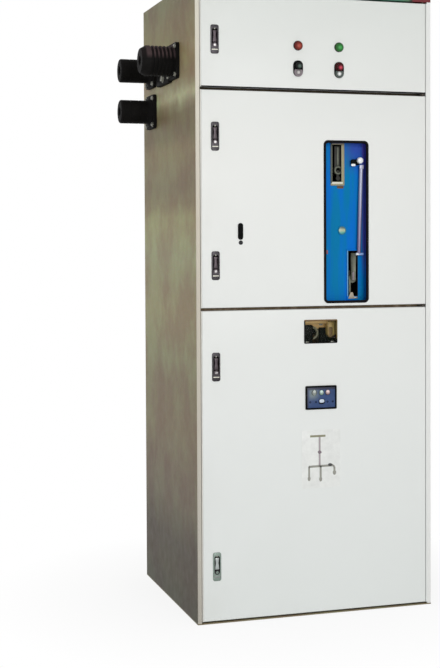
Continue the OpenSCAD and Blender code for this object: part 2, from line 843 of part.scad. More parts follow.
module red_lamp() {
  lamp(-1, [0.65, 0.12, 0.1]);
}

module green_lamp() {
  lamp(1, [0.15, 0.5, 0.22]);
}

// A button's stem is thinner than its cap by this much all round
stem_step = 3;

// Station: an oblong bezel that guides the button, with a small lens below it
module station(side) {
  x = signal_x + side * signal_spacing / 2;
  color([0.12, 0.12, 0.13]) {
    difference() {
      union() {
        upright_slab(x, station_z, station_w, station_h, station_w / 2 - 1, front_y - station_t, front_y);
        y_cylinder(x, button_z, signal_hole_r - signal_fit, front_y, front_y + signal_depth);
      }
      y_cylinder(x, button_z, button_r - stem_step + button_fit, front_y - station_t - cuts,
        front_y + button_depth);
    }
    y_cylinder(x, station_z - station_h / 2 + lens_up, lens_r, front_y - station_t - 3, front_y - station_t);
  }
}

module black_station() {
  station(-1);
}

module red_station() {
  station(1);
}

// Button: a wide cap in front of the bezel, on a stem that slides in it
module push_button(side, tint) {
  x = signal_x + side * signal_spacing / 2;
  cap_y = front_y - station_t - button_travel - 0.5;
  color(tint) {
    y_cylinder(x, button_z, button_r, cap_y - cap_t, cap_y);
    y_cylinder(x, button_z, button_r - stem_step, cap_y, front_y + button_depth - button_travel - 1);
  }
}

module black_button() {
  push_button(-1, [0.08, 0.1, 0.1]);
}

module red_button() {
  push_button(1, [0.6, 0.05, 0.12]);
}

module middle_door() {
  color([0.88, 0.89, 0.87]) difference() {
    door_shell(middle_z0, middle_z1);
    for (z = middle_locks_z) lock_hole(z);
    upright_slab(panel_x, panel_z, panel_w - 2 * edging_lip, panel_h - 2 * edging_lip, panel_r - edging_lip,
      front_y - cuts, door_inner_y + cuts);
    upright_slab(latch_x, latch_z, latch_w - 6, latch_h - 6, 3, front_y - cuts, door_inner_y + cuts);
  }
}

module middle_door_upper_lock() {
  flush_lock(middle_locks_z[0]);
}

module middle_door_lower_lock() {
  flush_lock(middle_locks_z[1]);
}

// Ring round the operating panel's opening, set in from its outline by out and reaching to in
module panel_ring(out, in, y0, y1) {
  difference() {
    upright_slab(panel_x, panel_z, panel_w - 2 * out, panel_h - 2 * out, panel_r - out, y0, y1);
    upright_slab(panel_x, panel_z, panel_w - 2 * in, panel_h - 2 * in, panel_r - in, y0 - cuts, y1 + cuts);
  }
}

// Rubber edging pushed over the rim of the opening: it grips the door's sheet front and back
edging_lip = 2;
edging_t = 3;
module panel_edging() {
  color([0.07, 0.07, 0.08]) {
    panel_ring(0, edging_w, front_y - edging_t, front_y);
    panel_ring(edging_lip, edging_w, front_y, door_inner_y);
    panel_ring(0, edging_w, door_inner_y, door_inner_y + 2);
  }
}

// Small latch: a plate on the door, a body through it and a raised bar
module door_latch() {
  plate_t = 3;
  bar = [8, 32, 5];
  color([0.07, 0.07, 0.08]) {
    upright_slab(latch_x, latch_z, latch_w, latch_h, 4, front_y - plate_t, front_y);
    upright_slab(latch_x, latch_z, latch_w - 7, latch_h - 7, 2.5, front_y, front_y + 12);
    box(latch_x - bar[0] / 2, latch_x + bar[0] / 2, front_y - plate_t - bar[2], front_y - plate_t,
      latch_z - bar[1] / 2, latch_z + bar[1] / 2);
  }
}

// The frame and the display lap over the edges of their holes by this much
lap = 5;
module lower_door() {
  color([0.86, 0.88, 0.87]) difference() {
    door_shell(lower_z0, lower_z1);
    for (z = lower_locks_z) lock_hole(z);
    upright_slab(fittings_x, window_z, window_w - 2 * lap, window_h - 2 * lap, 3,
      front_y - cuts, door_inner_y + cuts);
    upright_slab(fittings_x, display_z, display_w - 2 * lap - 2, display_h - 2 * lap - 2, 3,
      front_y - cuts, door_inner_y + cuts);
  }
}

module lower_door_upper_lock() {
  flush_lock(lower_locks_z[0]);
}

module lower_door_lower_lock() {
  flush_lock(lower_locks_z[1]);
}

module window_frame() {
  frame_t = 2.5;
  rim = 6;
  color([0.2, 0.2, 0.2]) difference() {
    upright_slab(fittings_x, window_z, window_w, window_h, 5, front_y - frame_t, front_y);
    upright_slab(fittings_x, window_z, window_w - 2 * rim, window_h - 2 * rim, 3,
      front_y - frame_t - cuts, front_y + cuts);
  }
}

module window_glass() {
  glass_t = 5;
  color([0.7, 0.8, 0.8, 0.4]) upright_slab(fittings_x, window_z, window_w + 2 * lap, window_h + 2 * lap, 4,
    door_inner_y, door_inner_y + glass_t);
}

// Voltage display: a face plate on the door and a body through it
module voltage_display() {
  plate_t = 5;
  body_depth = 40;
  color([0.2, 0.28, 0.5]) {
    upright_slab(fittings_x, display_z, display_w, display_h, 4, front_y - plate_t, front_y);
    upright_slab(fittings_x, display_z, display_w - 2 * lap - 3, display_h - 2 * lap - 3, 3,
      front_y, front_y + body_depth);
  }
}

module mimic_plate() {
  plate_t = 1;
  color([0.85, 0.86, 0.84])
    upright_slab(fittings_x, mimic_z, mimic_w, mimic_h, 3, front_y - plate_t, front_y);
}

floor_plate();
left_side_panel();
right_side_panel();
top_cover();
relief_flap();
rear_upper_cover();
rear_lower_cover();
header_plate();
head_rail();
upper_crossbar();
lower_crossbar();
hinge_pins();
inner_partition();
instrument_shelf();
cable_compartment_roof();
mechanism_housing();
operating_panel();
upper_slot_frame();
lower_slot_frame();
upper_crank();
lower_crank();
interlock_knob();
interlock_rod();
position_indicator();
front_bushing();
rear_upper_bushing();
rear_lower_bushing();
post_insulators();
contact_bar();
cable_bars();
earth_bar();
top_door();
top_door_lock();
red_lamp();
green_lamp();
black_station();
red_station();
black_button();
red_button();
middle_door();
middle_door_upper_lock();
middle_door_lower_lock();
panel_edging();
door_latch();
lower_door();
lower_door_upper_lock();
lower_door_lower_lock();
window_frame();
window_glass();
voltage_display();
mimic_plate();
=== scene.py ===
"""Finishes, detailed pieces and a plain studio for a ring main unit.

The cabinet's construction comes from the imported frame; each operator below makes one piece,
or one group of like pieces, in its place on that frame. Lengths are in metres.
"""
import json
import math

import bmesh
import bpy
from mathutils import Matrix, Vector

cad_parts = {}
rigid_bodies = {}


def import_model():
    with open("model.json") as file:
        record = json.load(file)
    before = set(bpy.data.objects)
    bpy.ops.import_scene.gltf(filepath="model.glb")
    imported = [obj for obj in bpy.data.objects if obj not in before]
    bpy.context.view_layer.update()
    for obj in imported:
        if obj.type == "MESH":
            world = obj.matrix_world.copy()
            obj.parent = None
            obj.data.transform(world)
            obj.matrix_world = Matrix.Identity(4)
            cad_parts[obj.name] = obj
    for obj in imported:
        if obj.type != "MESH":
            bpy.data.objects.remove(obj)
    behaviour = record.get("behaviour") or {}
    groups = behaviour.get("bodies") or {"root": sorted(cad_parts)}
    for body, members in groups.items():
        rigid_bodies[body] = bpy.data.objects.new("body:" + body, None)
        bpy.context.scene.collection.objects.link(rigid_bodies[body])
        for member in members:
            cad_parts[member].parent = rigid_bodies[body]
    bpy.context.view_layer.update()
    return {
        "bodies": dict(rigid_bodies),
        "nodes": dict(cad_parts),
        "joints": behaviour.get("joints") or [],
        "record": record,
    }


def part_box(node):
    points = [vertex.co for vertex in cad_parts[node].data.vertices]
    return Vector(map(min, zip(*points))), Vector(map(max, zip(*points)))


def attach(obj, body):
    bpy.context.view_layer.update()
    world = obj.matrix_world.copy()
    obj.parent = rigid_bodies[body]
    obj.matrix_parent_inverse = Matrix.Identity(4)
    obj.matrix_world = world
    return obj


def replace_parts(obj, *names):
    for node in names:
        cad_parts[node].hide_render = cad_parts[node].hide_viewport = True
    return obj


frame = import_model()

bl_info = {
    "name": "Ring main unit",
    "version": (1, 0, 0),
    "blender": (4, 5, 0),
    "location": "View3D > Sidebar > Ring Main Unit",
    "description": "Finishes and detailed pieces for a medium-voltage switch cubicle",
    "category": "Object",
}

SHEET = 0.002
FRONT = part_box("middle_door")[0].y
HINGE_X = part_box("hinge_pins")[0].x + 0.009
HINGE_Y = FRONT + 0.0055


# ---- modelling by hand, in short steps

def clear_selection():
    """Leaves edit mode and deselects everything."""
    if bpy.context.mode != "OBJECT":
        bpy.ops.object.mode_set(mode="OBJECT")
    bpy.ops.object.select_all(action="DESELECT")


def hold(piece):
    """Makes one piece the only selected and active one."""
    clear_selection()
    piece.select_set(True)
    bpy.context.view_layer.objects.active = piece


def settle(piece):
    """Puts the object's turn, size and place into its mesh."""
    hold(piece)
    bpy.ops.object.transform_apply(location=True, rotation=True, scale=True)
    return piece


def named(name):
    piece = bpy.context.active_object
    piece.name = name
    piece.data.name = name
    return piece


def block(name, low, high):
    """A box between two corners."""
    clear_selection()
    low, high = Vector(low), Vector(high)
    bpy.ops.mesh.primitive_cube_add(size=1, location=(low + high) / 2)
    piece = named(name)
    piece.scale = high - low
    return settle(piece)


def edit(piece, kind):
    """Opens a piece in edit mode with faces or edges to pick."""
    hold(piece)
    bpy.ops.object.mode_set(mode="EDIT")
    bpy.ops.mesh.select_mode(type=kind)
    bpy.ops.mesh.select_all(action="DESELECT")


def pick_all():
    bpy.ops.mesh.select_all(action="SELECT")


def drop(piece):
    bpy.data.objects.remove(piece, do_unlink=True)


def widen(ratio, centre):
    """Scales what is picked along X about a centre."""
    bpy.ops.transform.resize(value=(ratio, 1, 1), center_override=centre)


def close_edit():
    bpy.ops.object.mode_set(mode="OBJECT")


def pick_faces(piece, test):
    mesh = bmesh.from_edit_mesh(piece.data)
    for face in mesh.faces:
        face.select_set(bool(test(face.calc_center_median(), face.normal)))
    mesh.select_flush_mode()
    bmesh.update_edit_mesh(piece.data)


def pick_edges(piece, test):
    """Picks edges by their middle and direction."""
    mesh = bmesh.from_edit_mesh(piece.data)
    for edge in mesh.edges:
        start, end = (vert.co for vert in edge.verts)
        edge.select_set(bool(test((start + end) / 2, (end - start).normalized())))
    mesh.select_flush_mode()
    bmesh.update_edit_mesh(piece.data)


def runs(axis):
    """Picks edges that run along an axis."""
    return lambda middle, way: abs(getattr(way, axis)) > 0.9


def lies(axis, level):
    """Picks edges at one level of an axis."""
    return lambda middle, way: abs(getattr(middle, axis) - level) < 1e-6


def round_edges(piece, test, radius, segments=3):
    """Rounds the picked edges of a piece."""
    edit(piece, "EDGE")
    pick_edges(piece, test)
    bpy.ops.mesh.bevel(offset=radius, offset_type="OFFSET", segments=segments, affect="EDGES",
        clamp_overlap=True)
    close_edit()


def soften(piece, width, segments=2, angle=35):
    """Breaks every sharp edge of a piece with a small bevel."""
    hold(piece)
    bevel = piece.modifiers.new("Broken edges", "BEVEL")
    bevel.width = width
    bevel.segments = segments
    bevel.limit_method = "ANGLE"
    bevel.angle_limit = math.radians(angle)
    bpy.ops.object.modifier_apply(modifier=bevel.name)


def thicken(piece, even=False):
    """Gives an open shell the thickness of sheet, inwards."""
    wall = piece.modifiers.new("Sheet", "SOLIDIFY")
    wall.thickness = sizes().sheet
    wall.offset = -1
    wall.use_even_offset = even
    bpy.ops.object.modifier_apply(modifier=wall.name)


def smooth(piece, angle=35):
    hold(piece)
    bpy.ops.object.shade_smooth_by_angle(angle=math.radians(angle))


def cut(piece, *cutters):
    """Cuts other pieces out of a piece and throws them away."""
    for cutter in cutters:
        hold(piece)
        carve = piece.modifiers.new("Cut", "BOOLEAN")
        carve.operation = "DIFFERENCE"
        carve.solver = "EXACT"
        carve.object = cutter
        bpy.ops.object.modifier_apply(modifier=carve.name)
        drop(cutter)


def join(name, pieces):
    """Joins loose solids into one piece."""
    clear_selection()
    for piece in pieces:
        piece.select_set(True)
    bpy.context.view_layer.objects.active = pieces[0]
    if len(pieces) > 1:
        bpy.ops.object.join()
    return named(name)


def copy_to(piece, name, shift):
    """A copy of a settled piece with its own mesh, moved by a shift."""
    hold(piece)
    bpy.ops.object.duplicate(linked=False)
    twin = named(name)
    twin.location = Vector(shift)
    return settle(twin)


def slab(name, x, z, width, height, corner, back, front, edge=0.0, corner_steps=6):
    """An upright slab with round corners; its front edges are broken by a small radius."""
    piece = block(name, (x - width / 2, front, z - height / 2), (x + width / 2, back, z + height / 2))
    if corner > 0:
        round_edges(piece, runs("y"), corner, corner_steps)
    if edge > 0:
        round_edges(piece, lambda middle, way: abs(middle.y - front) < 1e-6 and abs(way.y) < 0.1, edge, 3)
    return piece


def pad(name, spot, size, less, *shape):
    """A slab over a node's box, less a trim in width and height."""
    return slab(name, spot.x, spot.z, size.x - less, size.z - less, *shape)


def turned(name, rings, sides=40, bore=False):
    """A round piece about +Z: each ring is (height, radius). With a bore the last ring meets the first."""
    clear_selection()
    height, radius = rings[0]
    fill = "NOTHING" if bore else "NGON"
    bpy.ops.mesh.primitive_circle_add(vertices=sides, radius=radius, fill_type=fill, location=(0, 0, height))
    piece = named(name)
    settle(piece)
    edit(piece, "EDGE" if bore else "FACE")
    pick_all()
    path = list(rings[1:]) + ([rings[0]] if bore else [])
    for step_height, step_radius in path:
        bpy.ops.mesh.extrude_region_move(TRANSFORM_OT_translate={"value": (0, 0, step_height - height)})
        ratio = step_radius / radius
        bpy.ops.transform.resize(value=(ratio, ratio, 1), center_override=(0, 0, step_height))
        height, radius = step_height, step_radius
    pick_all()
    bpy.ops.mesh.remove_doubles(threshold=1e-6)
    bpy.ops.mesh.normals_make_consistent(inside=False)
    close_edit()
    return piece


TURNS = {
    "-Y": Matrix.Rotation(math.pi / 2, 4, "X"),
    "+Y": Matrix.Rotation(-math.pi / 2, 4, "X"),
    "-X": Matrix.Rotation(-math.pi / 2, 4, "Y"),
    "+X": Matrix.Rotation(math.pi / 2, 4, "Y"),
    "+Z": Matrix.Identity(4),
    "-Z": Matrix.Rotation(math.pi, 4, "X"),
}


def place(piece, spot, towards="+Z"):
    """Points a piece made about +Z another way and moves it to its spot."""
    piece.matrix_world = Matrix.Translation(Vector(spot)) @ TURNS[towards]
    return settle(piece)


def finish(piece, material, slot, angle=35, body="cabinet"):
    """Gives a piece its finish and says what it rides on."""
    smooth(piece, angle)
    piece.data.materials.clear()
    piece.data.materials.append(material)
    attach(piece, body)
    return piece


# ---- finishes

class Finish:
    """A node material built step by step round one Principled shader.

    A source is a node with the name of one of its outputs.
    """

    def __init__(self, name, roughness=0.5, metallic=0.0, **values):
        self.material = bpy.data.materials.new(name)
        self.material.use_nodes = True
        self.tree = self.material.node_tree
        self.tree.nodes.clear()
        self.output = self.add("ShaderNodeOutputMaterial")
        self.shader = self.add("ShaderNodeBsdfPrincipled", {"Roughness": roughness, "Metallic": metallic})
        self.link(self.shader, "BSDF", self.output, "Surface")
        for socket, value in values.items():
            self.shader.inputs[socket.replace("_", " ")].default_value = value
        self.where = self.add("ShaderNodeTexCoord")
        self.height = None

    def add(self, kind, inputs=None, **settings):
        node = self.tree.nodes.new(kind)
        for key, value in settings.items():
            setattr(node, key, value)
        for socket, value in (inputs or {}).items():
            node.inputs[socket].default_value = value
        return node

    def link(self, source, output, target, entry):
        self.tree.links.new(source.outputs[output], target.inputs[entry])

    def at(self, stretch=(1, 1, 1)):
        """Object coordinates, stretched along an axis."""
        mapping = self.add("ShaderNodeMapping", {"Scale": stretch})
        self.link(self.where, "Object", mapping, "Vector")
        return mapping

    def noise(self, scale, detail=2.0, stretch=(1, 1, 1), roughness=0.5):
        node = self.add("ShaderNodeTexNoise", {"Scale": scale, "Detail": detail, "Roughness": roughness})
        self.link(self.at(stretch), "Vector", node, "Vector")
        return node, "Fac"

    def cells(self, scale, output="Distance"):
        node = self.add("ShaderNodeTexVoronoi", {"Scale": scale}, feature="F1")
        self.link(self.at(), "Vector", node, "Vector")
        return node, output

    def ramp(self, source, stops):
        """Colours along a value: stops are (place, colour)."""
        node = self.add("ShaderNodeValToRGB")
        elements = node.color_ramp.elements
        while len(elements) < len(stops):
            elements.new(0.5)
        for element, (spot, colour) in zip(elements, stops):
            element.position = spot
            element.color = (*colour, 1)
        self.link(*source, node, "Fac")
        return node, "Color"

    def span(self, source, low, high, start=0.0, end=1.0):
        """A value taken from one range to another."""
        node = self.add("ShaderNodeMapRange",
            {"From Min": start, "From Max": end, "To Min": low, "To Max": high})
        self.link(*source, node, "Value")
        return node, "Result"

    def mix(self, factor, first, second, blend="MIX"):
        """Mixes two colours; each is a colour or a source, and so is the factor."""
        node = self.add("ShaderNodeMix", data_type="RGBA", blend_type=blend)
        for socket, value in ((0, factor), (6, first), (7, second)):
            if isinstance(value, tuple) and hasattr(value[0], "outputs"):
                self.link(*value, node, socket)
            elif isinstance(value, (int, float)):
                node.inputs[socket].default_value = value
            else:
                node.inputs[socket].default_value = (*value, 1)
        return FirstOf(node, 2), "Result"

    def colour(self, source):
        self.link(*source, self.shader, "Base Color")

    def mottle(self, first, second, *noise):
        """Base colour that varies between two colours."""
        self.colour(self.mix(self.noise(*noise), first, second))

    def gloss(self, low, high, *noise):
        """Roughness that varies between two values."""
        self.link(*self.span(self.noise(*noise), low, high), self.shader, "Roughness")

    def bump(self, source, depth):
        """Adds relief of a depth in metres on top of what is there."""
        node = self.add("ShaderNodeBump", {"Strength": 1.0, "Distance": depth})
        self.link(*source, node, "Height")
        if self.height:
            self.link(self.height, "Normal", node, "Normal")
        for link in list(self.shader.inputs["Normal"].links):
            self.tree.links.remove(link)
        self.link(node, "Normal", self.shader, "Normal")
        self.height = node

    def grain(self, depth, *noise):
        """Relief made of noise."""
        self.bump(self.noise(*noise), depth)


class FirstOf:
    """Names one output of a node that has several of the same name."""

    def __init__(self, node, index):
        self.outputs = {"Result": node.outputs[index]}


def once(make):
    """Makes a finish the first time it is asked for, and then hands out the same material."""
    made = []

    def material():
        if not made:
            made.append(make().material)
        return made[0]
    return material


def paint(name):
    """One of the scene's paints, from display values to the linear ones that shaders take."""
    colour = getattr(bpy.context.scene.cubicle_paints, name)
    return tuple(c / 12.92 if c <= 0.04045 else ((c + 0.055) / 1.055) ** 2.4 for c in colour)


def shade(colour, factor, tint=(1, 1, 1)):
    return tuple(min(1.0, c * factor * t) for c, t in zip(colour, tint))


def powder_coat(name, colour, roughness=0.4, cloud=0.02, peel=0.00004, sheen=0.4):
    """Powder coat: a fine orange peel, faint clouding and an uneven sheen."""
    coat = Finish(name, roughness, Specular_IOR_Level=sheen)
    base = coat.mix(coat.noise(2.6, 3), shade(colour, 1 - cloud), shade(colour, 1 + cloud))
    coat.colour(base)
    coat.gloss(roughness - 0.07, roughness + 0.07, 9, 3)
    coat.grain(peel, 420, 2)
    coat.grain(peel * 6, 5, 1)
    return coat, base


def along(finish, axis, start, end):
    """A value from 0 to 1 along one of the object's axes."""
    parts = finish.add("ShaderNodeSeparateXYZ")
    finish.link(finish.where, "Object", parts, "Vector")
    return finish.span((parts, axis), 0, 1, start, end)


def product(finish, *factors):
    """The product of two factors, as a socket."""
    node = finish.add("ShaderNodeMath", operation="MULTIPLY")
    for entry, (source, output) in zip(node.inputs, factors):
        finish.tree.links.new(source.outputs[output], entry)
    return node, "Value"


def moulded(name, colour, roughness=0.4, grain=0.00002, **values):
    """Moulded plastic with a fine grain and slightly uneven gloss."""
    plastic = Finish(name, roughness, **values)
    plastic.mottle(shade(colour, 0.88), shade(colour, 1.12), 60, 3)
    plastic.gloss(roughness - 0.08, roughness + 0.08, 140, 3)
    plastic.grain(grain, 1500, 2)
    return plastic


def plated(name, colour, roughness=0.25, stretch=(1, 1, 1), metallic=1.0):
    """Bare or plated metal: fine brushing along one axis, with dull patches."""
    metal = Finish(name, roughness, metallic)
    patches = metal.mix(metal.noise(35, 4), shade(colour, 0.82), shade(colour, 1.08))
    metal.colour(patches)
    metal.gloss(roughness - 0.08, roughness + 0.12, 220, 4, stretch)
    metal.grain(0.00001, 700, 2, stretch)
    return metal


def moulding(*values, **sockets):
    """A moulded finish with nothing added."""
    return once(lambda: moulded(*values, **sockets))


def plating(*values):
    """A plated finish with nothing added."""
    return once(lambda: plated(*values))


@once
def door_coat():
    """White powder coat, with rubbed and slightly soiled paint down the side where the locks are, and painted
    shade that darkens it towards the foot and towards the top.
    """
    coat, base = powder_coat("Door powder coat", paint("door"), 0.42, 0.012)
    # Painted shade: the ramp darkens the doors towards the foot and towards the top.
    painted_light_by_height = coat.ramp(along(coat, "Z", 0.0, 2.2),
        [(0.0, (0.96, 0.985, 0.985)), (0.3, (0.985, 1, 1)), (0.7, (1, 1, 0.99)),
        (0.84, (0.955, 0.965, 0.955)), (0.95, (0.9, 0.92, 0.905))])
    base = coat.mix(1.0, base, painted_light_by_height, "MULTIPLY")
    handled = coat.span(coat.noise(7, 5, (1, 1, 0.5)), 0, 0.35, 0.45, 0.8)
    wear_and_painted_light = product(coat, handled, along(coat, "X", -0.26, -0.40))
    soiled = coat.mix(wear_and_painted_light, (1, 1, 1), (0.9, 0.89, 0.86))
    coat.colour(coat.mix(1.0, base, soiled, "MULTIPLY"))
    return coat


# Painted light and shade of the left side sheet by height, with some dirt: a dark foot that is partly dirt and
# partly painted shade, painted shadow by the bushings, a painted highlight band between them and painted shade
# towards the top
PAINTED_LIGHT_AND_DIRT_BY_HEIGHT = ((0.015, 0.16, 0.15, 0.14), (0.054, 0.19, 0.16, 0.15), (0.1, 0.205, 0.17, 0.185),
           (0.132, 0.31, 0.27, 0.28), (0.171, 0.49, 0.43, 0.45), (0.22, 0.56, 0.47, 0.49),
           (0.287, 0.69, 0.6, 0.58), (0.365, 0.73, 0.65, 0.63), (0.404, 0.83, 0.81, 0.76),
           (0.481, 1.0, 0.92, 0.84), (0.52, 0.98, 0.92, 0.86), (0.575, 1.06, 1.07, 1.03),
           (0.617, 1.12, 1.12, 0.99), (0.637, 1.08, 1.06, 0.9), (0.656, 0.8, 0.7, 0.63),
           (0.685, 0.69, 0.6, 0.56), (0.714, 0.76, 0.66, 0.6), (0.745, 0.8, 0.69, 0.58),
           (0.77, 0.6, 0.53, 0.43), (0.8, 0.62, 0.54, 0.47), (0.815, 0.95, 0.92, 0.87),
           (0.83, 1.55, 1.66, 1.6), (0.846, 1.1, 1.02, 0.98), (0.865, 1.1, 0.93, 0.93),
           (0.893, 1.08, 0.92, 0.83), (0.92, 0.8, 0.69, 0.52), (0.955, 0.71, 0.6, 0.5),
           (0.99, 0.6, 0.56, 0.49))

# A milder tone by height for the other sheets, darker at the foot and at the top
CALM = ((0, 0.62, 0.56, 0.56), (0.08, 0.5, 0.44, 0.44), (0.3, 0.8, 0.7, 0.68), (0.62, 1, 0.96, 0.9),
        (0.92, 0.82, 0.74, 0.68), (0.99, 0.6, 0.56, 0.49))


def weathered_and_shaded_sheet(name, panels=False):
    """Zinc-aluminium sheet gone khaki: fine spangle, brown and green clouds, and a tone by height that is
    darker towards the foot; on the left side panel that tone is painted light and shade with some dirt.
    """
    sheet = Finish(name, 0.55, 0.1, Specular_IOR_Level=0.2)
    colour = paint("side_sheet")
    brown, green = shade(colour, 0.84, (1.08, 0.95, 0.93)), shade(colour, 1.14, (0.95, 1.03, 0.93))
    patches = sheet.span(sheet.noise(5.5, 6, (1, 1, 0.8), 0.62), 0, 1, 0.4, 0.6)
    clouds = sheet.mix(patches, brown, green)
    spangle = sheet.cells(190, output="Color")
    grain = sheet.mix(0.06, clouds, spangle, "OVERLAY")
    level = sheet.add("ShaderNodeMath", operation="ADD")
    sheet.link(*along(sheet, "Z", 0.0, 2.15), level, 0)
    sheet.link(*sheet.span(sheet.noise(9, 4), -0.014, 0.014), level, 1)
    # The tones by height: painted light and shade, with some dirt at the foot
    wear_and_painted_light, calm = (sheet.ramp((level, "Value"), [(spot, tone) for spot, *tone in stops])
        for stops in (PAINTED_LIGHT_AND_DIRT_BY_HEIGHT, CALM))
    # The left side panel takes the painted light and dirt, the right one the milder tone
    painted_light_and_dirt = sheet.mix(along(sheet, "X", -0.4, 0.4), wear_and_painted_light, calm) if panels else calm
    tone = sheet.mix(1.0, grain, painted_light_and_dirt, "MULTIPLY")
    sheet.colour(tone)
    sheet.gloss(0.42, 0.62, 26, 4)
    sheet.bump(sheet.cells(190), 0.00003)
    sheet.grain(0.0012, 2.2, 2)
    return sheet, tone


@once
def side_coat():
    return weathered_and_shaded_sheet("Side sheet")[0]


@once
def post_coat():
    """The side panels: khaki sheet whose folded front edge and door lining are painted cream; the cream strip
    carries painted light, brighter towards the top and darker at the foot.
    """
    sheet, tone = weathered_and_shaded_sheet("Side sheet with painted edge", True)
    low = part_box("left_side_panel")[0]
    parts = sheet.add("ShaderNodeSeparateXYZ")
    sheet.link(sheet.where, "Object", parts, "Vector")
    across = sheet.add("ShaderNodeMath", operation="ABSOLUTE")
    sheet.link(parts, "X", across, 0)
    inside = sheet.span((across, "Value"), 0, 1, -low.x, -low.x - 0.002)
    front = sheet.span((parts, "Y"), 0, 1, low.y + 0.04, low.y + 0.03)
    face = sheet.span((parts, "Y"), 0, 1, low.y + 0.0024, low.y + 0.0012)
    edge = sheet.add("ShaderNodeMath", operation="MULTIPLY")
    painted = sheet.add("ShaderNodeMath", operation="MAXIMUM")
    for source, node, entry in (
            (inside, edge, 0),
            (front, edge, 1),
            ((edge, "Value"), painted, 0),
            (face, painted, 1)):
        sheet.link(*source, node, entry)
    bare = sheet.span((painted, "Value"), 0.1, 0)
    sheet.link(*bare, sheet.shader, "Metallic")
    cream, white = paint("post_edge"), paint("door")
    side = sheet.span((parts, "X"), 0, 1, low.x, -low.x)
    # Painted light on the cream strip: brighter towards the top, darker at the foot
    painted_light_by_height = sheet.ramp(along(sheet, "Z", 0.0, 2.15),
        [(0.0, (0.85, 0.84, 0.84)), (0.2, (1, 1, 1)), (0.62, (1.16, 1.12, 1.07)), (0.8, (1.32, 1.33, 1.3))])
    shades = sheet.mix(1.0, painted_light_by_height, sheet.mix(sheet.noise(12, 4), (0.94, 0.93, 0.92), (1, 1, 1)), "MULTIPLY")
    strip = sheet.mix(side, sheet.mix(1.0, cream, shades, "MULTIPLY"), white)
    sheet.colour(sheet.mix((painted, "Value"), tone, strip))
    return sheet


def shaded_dusty_coat(name, light):
    """Dark coat of the rails and crossbars behind the doors, whose darkness is painted shade for the seams
    between the doors, with dust in noisy patches; the light factor makes lighter and darker copies.
    """
    coat, base = powder_coat(name, shade(paint("rail"), light), 0.55, 0.2, 0.00003, 0.15)
    dust = coat.span(coat.noise(40, 5), 0, 0.3, 0.45, 0.8)
    coat.colour(coat.mix(dust, base, shade((0.16, 0.13, 0.1), light)))
    return coat


# Painted shade behind the seams: a darker copy for the rails and a lighter one for the lower crossbar
rail_coat = once(lambda: shaded_dusty_coat("Rail coat", 1.5))
crossbar_coat = once(lambda: shaded_dusty_coat("Rail coat with less painted shade", 4.5))


@once
def inner_sheet():
    """Galvanized sheet with a clear spangle."""
    sheet = Finish("Galvanized sheet", 0.4, 0.6)
    colour = paint("inner_sheet")
    flakes = sheet.cells(70, output="Color")
    tone = sheet.mix(0.22, shade(colour, 1.0), flakes, "SOFT_LIGHT")
    sheet.colour(tone)
    sheet.gloss(0.3, 0.5, 50, 3)
    sheet.bump(sheet.cells(70), 0.00003)
    return sheet


@once
def header_coat():
    """Header paint: green, with a dark join and a dark red field at the right."""
    green, red = paint("header_green"), paint("header_red")
    coat, _ = powder_coat("Header paint", green, 0.4)
    end = along(coat, "X", 0.30, 0.40)
    clouds = coat.mix(coat.noise(6, 4), shade(green, 0.84), shade(green, 1.14))
    fields = coat.ramp(end, [(0.0, (1, 1, 1)), (0.2, (1.1, 0.94, 0.86)), (0.42, (1.2, 0.74, 0.6)),
        (0.5, (0.2, 0.1, 0.1))])
    shaded = coat.mix(1.0, clouds, fields, "MULTIPLY")
    border = coat.span(end, 0, 1, 0.53, 0.59)
    blotches = coat.mix(coat.noise(30, 4), shade(red, 0.75), shade(red, 1.2))
    coat.colour(coat.mix(border, shaded, blotches))
    return coat


@once
def blue_coat():
    """Blue paint in upright bands of cobalt and teal, with painted shade at its right edge and upper right
    corner.
    """
    blue = paint("blue_panel")
    coat, _ = powder_coat("Blue panel paint", blue, 0.45, 0.07, sheen=0.05)
    bands = coat.span(coat.noise(30, 3, (1, 1, 0.1)), 0, 1, 0.38, 0.62)
    streaks = coat.mix(bands, shade(blue, 1.02, (0.05, 1.28, 0.86)), shade(blue, 1.02, (0.08, 1.05, 1.28)))
    low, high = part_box("operating_panel")
    # Painted shade: violet at the upper right corner and a dark violet strip down the right edge
    corner = product(coat, along(coat, "X", high.x - 0.1, high.x - 0.05),
        along(coat, "Z", high.z - 0.12, high.z - 0.03))
    edge = product(coat, along(coat, "X", high.x - 0.014, high.x - 0.008),
        along(coat, "Z", low.z + 0.08, low.z + 0.2))
    violet = coat.mix(coat.span(corner, 0, 0.7), streaks, (0.045, 0.05, 0.34))
    coat.colour(coat.mix(coat.span(edge, 0, 0.85), violet, (0.08, 0.065, 0.42)))
    return coat


@once
def slot_coat():
    """Zinc-plated frame gone brown and green with age."""
    metal = Finish("Slot frame plating", 0.42, 0.35)
    colour = paint("slot_frame")
    stain = metal.mix(metal.noise(34, 4, (1, 1, 0.5)), shade(colour, 0.6, (1.12, 0.95, 0.8)),
        shade(colour, 1.5))
    metal.mottle(stain, shade(colour, 0.9, (0.85, 1.05, 0.95)), 90, 3)
    metal.gloss(0.32, 0.55, 120, 4)
    metal.grain(0.00003, 500, 3)
    return metal


@once
def shutter_steel():
    """Dark plate behind the slots, brushed up and down."""
    metal = Finish("Shutter steel", 0.5, 0.2, Specular_IOR_Level=0.2)
    metal.mottle((0.012, 0.01, 0.01), (0.045, 0.045, 0.036), 60, 3, (1, 1, 0.05))
    metal.gloss(0.4, 0.65, 90, 4)
    metal.grain(0.00004, 700, 2, (1, 1, 0.05))
    return metal


